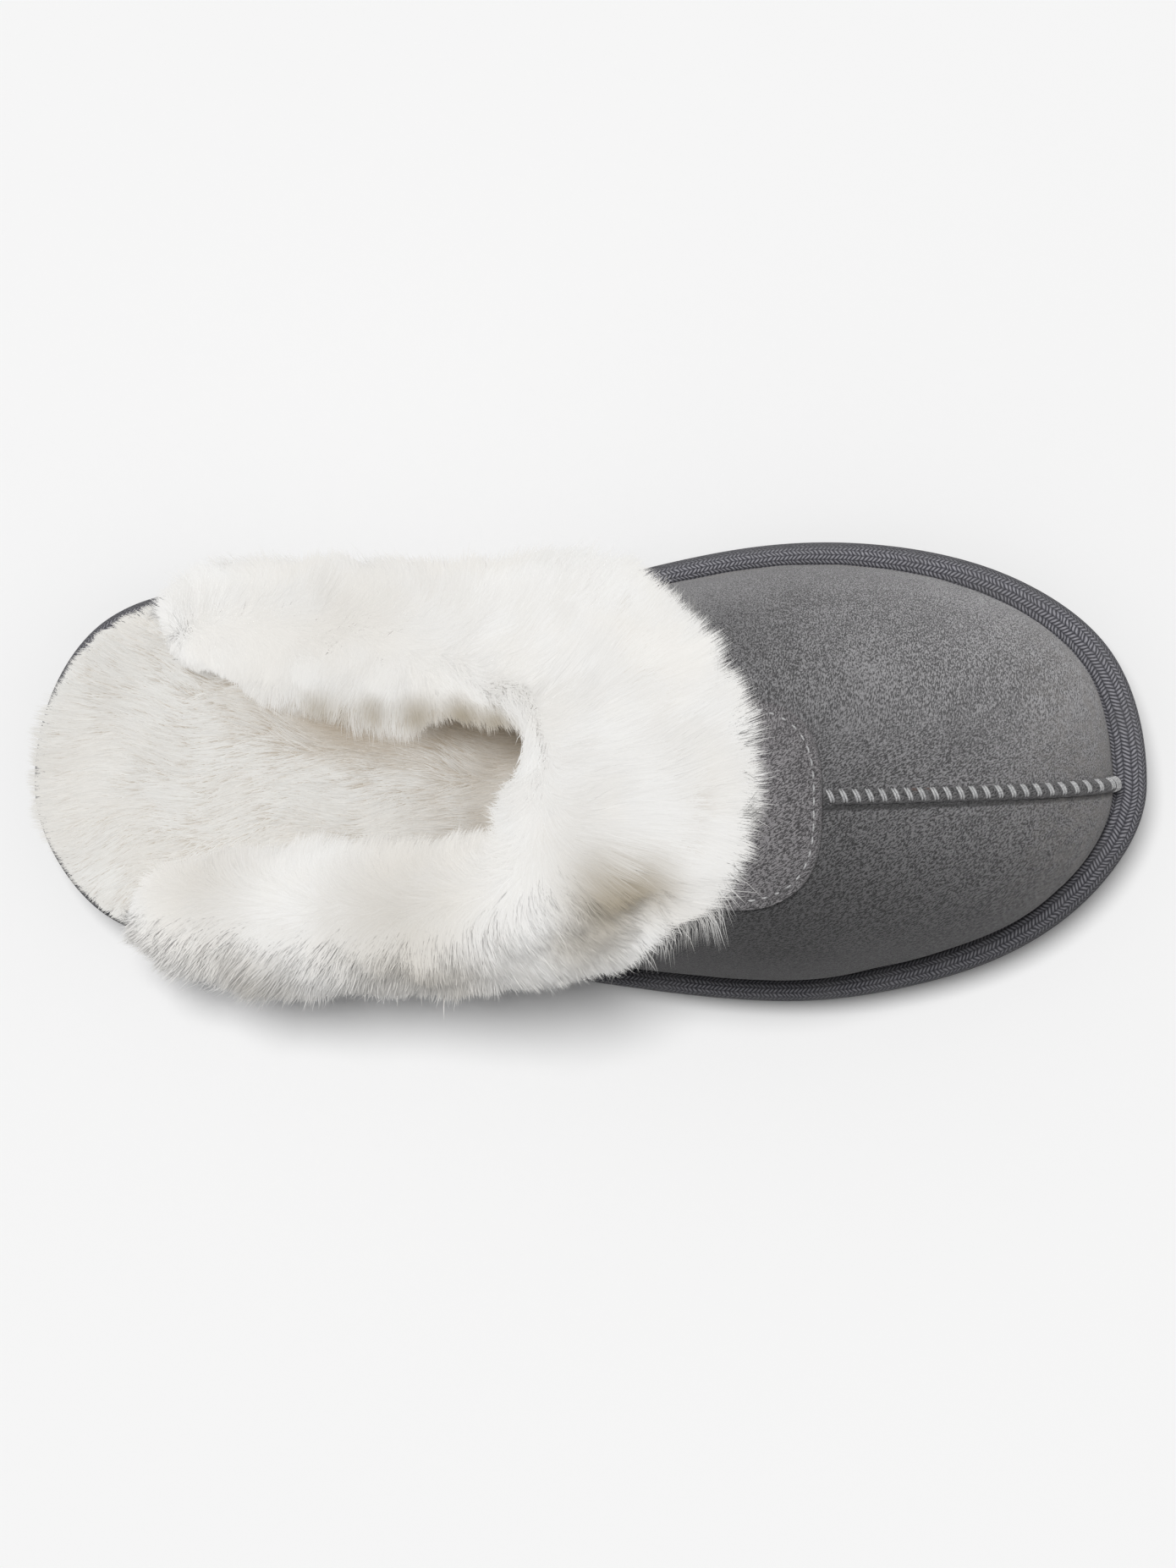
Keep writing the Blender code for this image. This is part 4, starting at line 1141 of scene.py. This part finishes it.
def grow(name, grid, count, lean, spacing, material, seed):
    """A piece of fur: ribbons rooted in a grid's skin, combed, gathered in clumps and shaded by the skin."""
    random = np.random.default_rng(seed)
    place = scatter(count, random, cell_weights(grid["points"], grid["keep"], grid["wrap"]))
    root = sample(grid["points"], *place)
    up = unit(sample(grid["normals"], *place))
    comb = sample(grid["comb"], *place)
    combed = np.clip(np.linalg.norm(comb, axis=1, keepdims=True), 0.0, 1.0)
    comb = unit(comb - up * (comb * up).sum(axis=1, keepdims=True))
    swirl = SWIRL * ripple(root, SWIRL_SIZE, seed)[:, None]
    comb = unit(comb + swirl * np.cross(up, comb) + random.normal(scale=0.16, size=root.shape))
    tuft, lock = (clump_of(root, random, size) for size in (spacing, spacing * LOCK_SCALE))
    length = sample(grid["length"], *place)[:, None] * random.uniform(*HAIR_LENGTHS, size=(count, 1))
    length = length * random.uniform(*LOCK_LENGTHS, size=(count, 1))[lock]
    lowered = random.uniform(*LOCK_LEANS, size=(count, 1))[lock] * (0.4 + 0.6 * combed)
    middle, tip = hair_lines(root, up, comb, length, lowered, lean, (tuft, lock), random)
    points, heading = ribbons(root, middle, tip, up, random)
    lit = unit(up + sample(grid["sky"], *place)[:, None] * UPWARD)
    level = 1 - heading[:, 2:3] ** 2
    facing = unit(lit - heading * (lit * heading).sum(axis=1, keepdims=True) * 0.9 * level)
    facing = unit(facing + random.normal(scale=0.10, size=facing.shape))
    own = 0.4 * random.random(count) + 0.6 * random.random(count)[lock]
    along = np.array((0.0, 0.0, 0.5, 0.5, 1.0))
    tone = sample(grid["tone"], *place)[:, None]
    uv = np.stack(np.broadcast_arrays(own[:, None], toned(along[None, :], tone)), axis=-1)
    return hair_piece(name, points, np.repeat(facing[:, None, :], 5, axis=1), uv, material)


def hair_piece(name, points, normals, uv, material):
    """A mesh of ribbons, each a quad with a pointed end, that cast no shadows and bounce no light."""
    count = len(points)
    corner = (np.arange(count)[:, None] * 5 + np.array((0, 1, 3, 2, 2, 3, 4))).ravel()
    starts = (np.arange(count)[:, None] * 7 + np.array((0, 4))).ravel()
    mesh = bpy.data.meshes.new(name)
    mesh.vertices.add(count * 5)
    mesh.loops.add(count * 7)
    mesh.polygons.add(count * 2)
    mesh.vertices.foreach_set("co", placed(points).astype(np.float32).ravel())
    mesh.loops.foreach_set("vertex_index", corner.astype(np.int32))
    mesh.polygons.foreach_set("loop_start", starts.astype(np.int32))
    mesh.update(calc_edges=True)
    layer = mesh.uv_layers.new(name="UVMap")
    layer.data.foreach_set("uv", uv.reshape(-1, 2)[corner].astype(np.float32).ravel())
    mesh.shade_smooth()
    mesh.normals_split_custom_set_from_vertices(normals.reshape(-1, 3).tolist())
    mesh.materials.append(material)
    obj = shown(name, mesh)
    obj.visible_shadow = False
    obj.visible_diffuse = False
    return obj


def skin_piece(name, grid, material):
    """The woven skin that hairs grow from, as a closed or open sheet."""
    rows, columns = grid["points"].shape[:2]
    faces = closed_faces(rows, columns) if grid["wrap"] else grid_faces(rows, columns)
    # The skin's tone, near the roots' where the fur's tone is low, paints shade in the gaps between hairs
    uv = np.stack((np.full(rows * columns, 0.5), toned(SKIN_TONE, grid["tone"].ravel())), axis=-1)
    return new_piece(name, grid["points"].reshape(-1, 3), faces, material, uv)


# Places in the cuff's sections, column by column

HEM_TO_EDGE = np.linspace(CORE_ENDS_AT, 0.0, OUTER)
FOLD_TURNS = np.linspace(0, math.pi, FOLD + 2)[1:-1]
INNER_WAY = np.linspace(0, 1, INNER)
UNDER = np.concatenate((np.zeros(OUTER), smoothstep(*UNDER_FROM, FOLD_TURNS), np.ones(INNER + BACKING)))
ON_FOLD = (np.arange(len(UNDER)) >= OUTER) * (1 - UNDER)


def edge_place(side, along):
    """A point of the suede's edge under the cuff."""
    station = REAR[side] + (THROAT - REAR[side]) * np.clip(cuff_edge(along), 0.0, 1.0)
    return upper_point(side, station_angle(station), top_climb(station))


def cuff_suede(side, along):
    """Points and normals of the suede under a section of the cuff, by the way from its edge to the hem."""
    edge_station = REAR[side] + (THROAT - REAR[side]) * min(float(cuff_edge(along)), 1.0)
    hem_station = float(cuff_hem_station(along)) + (REAR[side] - REAR[MEDIAL]) * (1 - along)
    edge = station_angle(edge_station), float(top_climb(edge_station))
    hem = station_angle(hem_station), math.radians(min(float(cuff_hem_climb(along)), 90.0))

    def place(way):
        return [start + (end - start) * np.asarray(way, float) for start, end in zip(edge, hem)]

    def suede(way, depth=0.0):
        return upper_point(side, *place(way), depth)

    def out(way):
        return upper_normal(side, *place(way))

    return suede, out


def cuff_sizes(side, along):
    """How far a section's core reaches out at its edge and its hem, in, and over the suede's edge."""
    full = float(cuff_fullness(along))
    swell = MEDIAL_SWELL * hump(SWELL_SPAN, along) if side == MEDIAL else 0.0
    corner = hump(CORNER_SPAN, along) if side == MEDIAL else 0.0
    to_throat = smoothstep(THROAT_FROM[side], 1.0, along)
    inner = (CORE_IN[side] + (THROAT_IN - CORE_IN[side]) * to_throat) * full
    inner *= (1 - CORNER_LOSES["inner"] * corner) * (1 - math.exp(-along / INNER_GROWS[side]))
    over = (CORE_OVER + (THROAT_OVER - CORE_OVER) * to_throat) * full * (1 - CORNER_LOSES["over"] * corner)
    return (CORE_OUT + swell) * full, (CORE_HEM + swell) * full, inner, over


def comb_turns(side, along):
    """Radians that the fur of the outer side and the fold is turned from a sweep up and into the shoe."""
    back = REARWARD_COMB * smoothstep(*REARWARD_UNTIL, along)
    hem_turn = math.pi + side * back
    crest_turn = (math.pi + back) * smoothstep(*MEDIAL_TURNS, along) - back if side == MEDIAL else hem_turn
    outer = crest_turn + (hem_turn - crest_turn) * smoothstep(0, 1, 0.5 * (1 + HEM_TO_EDGE / CREST_WAY))
    nearer = THROAT_PARTS * smoothstep(*THROAT_PARTS_FROM, along)
    fold = crest_turn * smoothstep(FOLD_PARTS[0] - nearer, FOLD_PARTS[1] - nearer, FOLD_TURNS)
    fold += (hem_turn - crest_turn) * smoothstep(0, 1, 0.5 * (1 - FOLD_TURNS / CREST_TURN))
    return outer[:, None], fold[:, None]


def cuff_skin(side, along):
    """Points of a section of the cuff's core, closed through the suede, and the comb of its hairs."""
    suede, out = cuff_suede(side, along)
    outer_size, hem_size, inner_size, over_size = cuff_sizes(side, along)
    outer_turn, fold_turn = comb_turns(side, along)
    small = 0.03
    sideways = side * unit(edge_place(side, along + small) - edge_place(side, along - small))

    way = HEM_TO_EDGE
    rounding = np.clip((way - CORE_TURNS_AT) / (CORE_ENDS_AT - CORE_TURNS_AT), 0.0, 1.0)
    thick = hem_size + (outer_size - hem_size) * (1 - way**CORE_ROUNDNESS)
    outer = suede(way) + out(way) * (thick * np.sqrt(1 - rounding**HEM_ROUNDNESS))[:, None]
    outer_comb = unit(suede(way - small) - suede(way + small)) * np.cos(outer_turn)
    outer_comb += sideways * np.sin(outer_turn)

    normal = out(0.0)
    over = suede(0.0) - suede(0.08)
    over = unit(over - normal * over.dot(normal))
    turns = FOLD_TURNS[:, None]
    side_reach = np.where(np.cos(turns) > 0, outer_size, inner_size) + WALL / 2
    fold = suede(0.0, WALL / 2) + normal * side_reach * np.cos(turns) + over * over_size * np.sin(turns)
    inward = unit(over * over_size * np.cos(turns) - normal * side_reach * np.sin(turns))
    fold_comb = inward * np.cos(fold_turn) + sideways * np.sin(fold_turn)

    reach = float(cuff_reach(along)) / np.linalg.norm(suede(0.0) - suede(1.0))
    down = INNER_WAY * reach
    thin = inner_size * (1 - 0.55 * INNER_WAY**2) * np.sqrt(1 - INNER_WAY**4 * 0.9)
    inner = suede(down, WALL) - out(down) * thin[:, None]
    inner_comb = unit(suede(down + small, WALL) - suede(down, WALL))

    backing = suede(np.linspace(reach, CORE_ENDS_AT, BACKING + 2)[1:-1], WALL / 2)
    points = np.concatenate((outer, fold, inner, backing))
    return points, np.concatenate((outer_comb, fold_comb, inner_comb, np.zeros(backing.shape)))


def cuff_hairs(side, along):
    """Lengths, tones and turns to the sky of a section's hairs."""
    full = float(cuff_fullness(along))
    inner_share = min(cuff_sizes(side, along)[2] / (CORE_IN[side] * full), 1.0)
    length = np.repeat((CUFF_HAIR, FOLD_HAIR, INNER_HAIR, 0.0), (OUTER, FOLD, INNER, BACKING))
    length *= 0.55 + 0.45 * full
    length[:OUTER] *= 1 + THROAT_LONGER * smoothstep(THROAT_LONGER_FROM, 1.0, along)
    length[OUTER + FOLD // 2:] *= 0.45 + 0.55 * inner_share
    at_hem = smoothstep(*HEM_FROM, HEM_TO_EDGE)
    # Tones: paler at the crest, painted light over the hem's shade, and painted shade deepening inward round
    # the fold and down the inner side
    outer_tone = 1 + CREST_TONE * smoothstep(0.45, 0.0, HEM_TO_EDGE) + HEM_TONE * at_hem
    fold_tone = FOLD_TONES[0] + (FOLD_TONES[1] - FOLD_TONES[0]) * smoothstep(*FOLD_DARKENS, FOLD_TURNS)
    inner_tone = FOLD_TONES[1] * (1 - 0.8 * INNER_WAY)
    tone = np.concatenate((outer_tone, fold_tone, inner_tone, np.zeros(BACKING)))
    to_throat = smoothstep(THROAT_FROM[side], 1.0, along)
    low, high = np.array(SKY[side]) + (np.array(SKY[MEDIAL]) - SKY[side]) * to_throat
    sky = np.full(len(tone), low)
    sky[:OUTER] += (high - low) * smoothstep(0.5, 0.0, HEM_TO_EDGE) + HEM_SKY * at_hem
    sky[OUTER:OUTER + FOLD] = high
    return length, tone, sky


def cuff_section(side, along):
    """One section of the cuff: points, comb, and lengths, tones and turns to the sky of its hairs."""
    points, comb = cuff_skin(side, along)
    length, tone, sky = cuff_hairs(side, along)
    if side == LATERAL:
        length[:OUTER] *= 1 - LATERAL_SHORTER * hump(SHORTER_SPAN, along)
    else:
        tiered = smoothstep(*TIER_ENDS, along)
        on_fold = ON_FOLD * smoothstep(0.06, 0.30, along)
        length *= 1 + tiered * (UNDER_LONGER * UNDER - FOLD_SHORTER * on_fold)
        length *= 1 - CORNER_LOSES["hair"] * hump(CORNER_SPAN, along) * on_fold
        length[OUTER:] *= 0.40 + 0.60 * smoothstep(0.04, 0.28, along)
        comb *= (1 - UNDER_LOOSER * tiered * UNDER)[:, None]
        # Painted shade under the medial fold, and less of it on the fold
        tone *= 1 - UNDER_DARKER * tiered * UNDER
        tone += FOLD_PALER * tiered * (1 - UNDER)
    return points, comb, length, tone, sky


def rear_rings(points, comb, length, tone, end, inside):
    """Rings that round the cuff off behind one of its ends, with short pale hairs combed back."""
    centre = points[end].mean(axis=0)
    back = unit(centre - points[inside].mean(axis=0))
    turns = np.radians(REAR_ROUND_TURNS)[:, None, None]
    rings = centre + (points[end] - centre) * np.cos(turns) + back * REAR_ROUND * np.sin(turns)
    shape = rings.shape[:2]
    return (
        rings,
        np.broadcast_to(unit(comb[end] + 0.7 * back) * 0.9, rings.shape),
        np.broadcast_to(np.minimum(length[end], REAR_HAIR) * 0.9, shape),
        np.broadcast_to(np.maximum(tone[end], 1.3), shape),
        np.full(shape, SKY[MEDIAL][1]),
    )


def cuff_grid():
    """The cuff's core: closed sections from the lateral rear end round the throat to the medial one."""
    alongs = np.linspace(CORE_STARTS_AT, 1, CUFF_RINGS)
    sections = [cuff_section(LATERAL, along) for along in alongs]
    sections += [cuff_section(MEDIAL, along) for along in alongs[-2::-1]]
    fields = [np.array(column) for column in zip(*sections)]
    start = [rings[::-1] for rings in rear_rings(*fields[:4], 0, 1)]
    end = rear_rings(*fields[:4], -1, -2)
    points, comb, length, tone, sky = (np.concatenate(group) for group in zip(start, fields, end))
    normals = grid_normals(points, wrap=True)
    dents = trough(points, [(x, y, x + 1e-6, y, radius, depth) for x, y, radius, depth in CUFF_DENTS])
    sink = dents + trough(points, CUFF_CREASES)
    sink += 0.0011 * ripple(points, 0.030, 21) + 0.0006 * ripple(points, 0.013, 22)
    outside = (np.arange(points.shape[1]) < OUTER + FOLD)[None, :]
    length = length * (1 - np.clip(DENT_SHORTENS * dents * outside, 0.0, 0.5))
    points = points - normals * (sink * outside)[..., None]
    fields = {"points": points, "normals": normals, "comb": comb, "length": length, "tone": tone, "sky": sky}
    return dict(fields, keep=(length > 0).astype(float), wrap=True)


def build_cuff():
    """Deep white fur: a core, and hairs in four pieces: two lateral, one round the throat, one medial."""
    fur = fur_material("cuff_fur_look", (0.54, 0.485, 0.41), (0.90, 0.895, 0.88), (0.90, 0.875, 0.83), CUFF_SHADE_SPOTS)
    grid = cuff_grid()
    dress(skin_piece("cuff_core", grid, fur), "cuff_fur", "fur_cuff")
    rows, columns = (np.arange(number) for number in grid["points"].shape[:2])
    share = (rows / rows[-1])[:, None]
    lateral = smoothstep(*LATERAL_ENDS, share)
    medial = smoothstep(*MEDIAL_STARTS, share)
    outside = smoothstep(*OUTER_COLUMNS, columns) * smoothstep(*HEM_COLUMNS, columns)
    masks = {
        "lateral_side": lateral * outside,
        "lateral_fold": lateral * (1 - outside),
        "throat": 1 - lateral - medial,
        "medial": medial,
    }
    for n, (name, mask) in enumerate(masks.items()):
        part = dict(grid, keep=grid["keep"] * mask)
        hairs = grow(f"cuff_fur_{name}", part, CUFF_HAIRS[name], CUFF_LEAN, CUFF_CLUMP, fur, 31 + n)
        hairs.visible_shadow = name == "lateral_side"
        dress(hairs, "cuff_fur")


def insole_inset(side, angle):
    """Inside the upper's wall from its rear ends forward, and out to the sole's edge behind them."""
    station = (1 - np.cos(angle)) / 2
    inside = feather_ledge(angle) + WALL + INSOLE_CLEARANCE
    rear = np.where(np.asarray(side) > 0, REAR[MEDIAL], REAR[LATERAL])
    share = smoothstep(rear - PILE_DRAWS_IN[0], rear - PILE_DRAWS_IN[1], station)
    return HEEL_PILE_INSET + (inside - HEEL_PILE_INSET) * share


def footbed_tone(x, y):
    """Darker in the shade of the medial cuff and under the throat."""
    under = y - np.interp(x, *zip(*SHADE_EDGE))
    shade = smoothstep(-0.015, 0.004, under) * smoothstep(0.030, 0.085, x)
    return 1.10 - 1.02 * np.maximum(shade, smoothstep(0.082, 0.128, x))


def footbed_comb(plan):
    """Combed to the heel, and fanned out round its back."""
    weight = smoothstep(0.090, 0.005, plan[..., 0])[..., None]
    radial = unit(plan - np.array((0.085, 0.003)))
    heading = unit(np.array((-1.0, 0.0)) * (1 - weight) + radial * weight)
    return np.concatenate((heading, np.zeros((*heading.shape[:2], 1))), axis=-1)


def footbed_grid():
    """The footbed's skin: a cushion over the platform."""
    low, thickness, edge_round, heel_inset = 0.0006, 0.0042, 0.0060, 0.0028
    angles = np.linspace(0.02, math.pi - 0.03, 110)
    shares = np.sin(np.linspace(-math.pi / 2, math.pi / 2, 41))
    lateral, medial = (
        np.stack(outline_point(side, angles, np.maximum(insole_inset(side, angles), heel_inset)), axis=-1)
        for side in (LATERAL, MEDIAL)
    )
    plan = lateral[:, None] + (medial - lateral)[:, None] * ((shares + 1) / 2)[None, :, None]
    x, y = plan[..., 0], plan[..., 1]
    to_side = (1 - np.abs(shares)) * np.linalg.norm(medial - lateral, axis=1)[:, None] / 2
    near = np.clip(np.minimum(to_side / edge_round, x / edge_round + 0.05), 0, 1)
    crown = np.sqrt(near * (2 - near))
    z = platform(x) + GAP + low + (thickness - low) * crown
    z = z + 0.0006 * ripple(np.stack((x * 0.5, y, 0 * x), axis=-1), 0.026, 8) * crown
    points = np.stack((x, y, z), axis=-1)
    normals = grid_normals(points, wrap=False)
    normals = normals * np.sign(normals[..., 2:3])
    length = np.minimum(FOOTBED_HAIR, 0.0026 + 0.85 * np.minimum(to_side, x))
    keep = np.where(x < 0.178, 1.0, 0.20) * (x < 0.215) * (1 + 1.5 * (1 - crown))
    fields = {"points": points, "normals": normals, "comb": footbed_comb(plan), "length": length}
    return dict(fields, tone=footbed_tone(x, y), sky=np.full(x.shape, FOOTBED_SKY), keep=keep, wrap=False)


def build_footbed():
    fur = fur_material("footbed_fur_look", (0.42, 0.340, 0.245), (0.85, 0.845, 0.82), (0.84, 0.815, 0.77))
    grid = footbed_grid()
    skin = skin_piece("footbed_skin", grid, fur)
    dress(skin, "footbed_fur", "insole")
    dress(grow("footbed_fur", grid, FOOTBED_HAIRS, FOOTBED_LEAN, FOOTBED_CLUMP, fur, 41), "footbed_fur")


def lining_grid(side):
    """The lining on the inside of the upper, from its rear end to the toe."""
    angles, climbs = (grid[:-3] for grid in upper_grid(side, 20, 40, 18))
    points = upper_point(side, angles, climbs, WALL + 0.0007)
    normals = -upper_normal(side, angles, climbs)
    towards_heel = np.broadcast_to((-0.9, 0.0, -0.3), points.shape)
    keep = ((1 - np.cos(angles)) / 2 < 0.78).astype(float)
    even = {"length": LINING_HAIR, "tone": LINING_TONE, "sky": FOOTBED_SKY}
    fields = {key: np.full(points.shape[:2], value) for key, value in even.items()}
    return dict(fields, points=points, normals=normals, comb=towards_heel, keep=keep, wrap=False)


def build_lining():
    fur = fur_material("lining_fur_look", (0.70, 0.66, 0.60), (0.87, 0.85, 0.81), (0.84, 0.80, 0.74))
    count = LINING_HAIRS // 2
    for side, name in ((LATERAL, "lateral"), (MEDIAL, "medial")):
        grid = lining_grid(side)
        dress(skin_piece(f"lining_skin_{name}", grid, fur), "footbed_fur")
        hairs = grow(f"lining_fur_{name}", grid, count, LINING_LEAN, LINING_CLUMP, fur, 51 + side)
        dress(hairs, "footbed_fur")


# Stage

def build_floor():
    made, shader, where = new_material("floor_look", 0.9)
    give(shader, "Base Color", ramp(noise(where, 0.4), (0.3, tint(0.942)), (0.7, tint(0.948))))
    mesh = bpy.data.meshes.new("floor")
    corners = [(x * FLOOR_REACH, y * FLOOR_REACH, 0) for x, y in ((-1, -1), (1, -1), (1, 1), (-1, 1))]
    mesh.from_pydata(corners, [], [(0, 1, 2, 3)])
    mesh.materials.append(made)
    floor = shown("floor", mesh)


def build_light():
    """A soft white room, and a key from the medial side."""
    world = bpy.data.worlds.new("soft_room")
    world.use_nodes = True
    world.node_tree.nodes["Background"].inputs["Color"].default_value = (1.0, 1.0, 1.0, 1.0)
    world.node_tree.nodes["Background"].inputs["Strength"].default_value = AMBIENT
    bpy.context.scene.world = world
    key = shown("key", bpy.data.lights.new("key", "SUN"))
    key.data.energy = KEY * math.pi
    key.data.angle = math.radians(KEY_SOFTNESS)
    key.rotation_euler = (math.radians(KEY_ELEVATION - 90), 0.0, math.radians(KEY_TURN))


def build_camera():
    """The photograph's view from above."""
    camera = shown("camera", bpy.data.cameras.new("camera"))
    tilt = math.radians(CAMERA_TILT)
    camera.location = placed(VIEW_CENTRE) + CAMERA_DISTANCE * np.array((0.0, math.sin(tilt), math.cos(tilt)))
    camera.rotation_euler = (-tilt, 0.0, 0.0)
    camera.data.sensor_fit = "VERTICAL"
    camera.data.sensor_height = SENSOR
    camera.data.lens = SENSOR * CAMERA_DISTANCE / (PICTURE_HEIGHT / PIXELS_PER_METRE)
    camera.data.clip_end = 20.0
    bpy.context.scene.camera = camera
    bpy.context.scene.view_settings.view_transform = "Standard"


def main():
    build_floor()
    build_light()
    build_camera()
    build_outsole()
    build_midsole()
    build_upper()
    build_patch()
    thread = thread_material()
    build_patch_stitches(thread)
    build_seam()
    build_whip_stitches(thread)
    build_footbed()
    build_lining()
    build_cuff()


main()
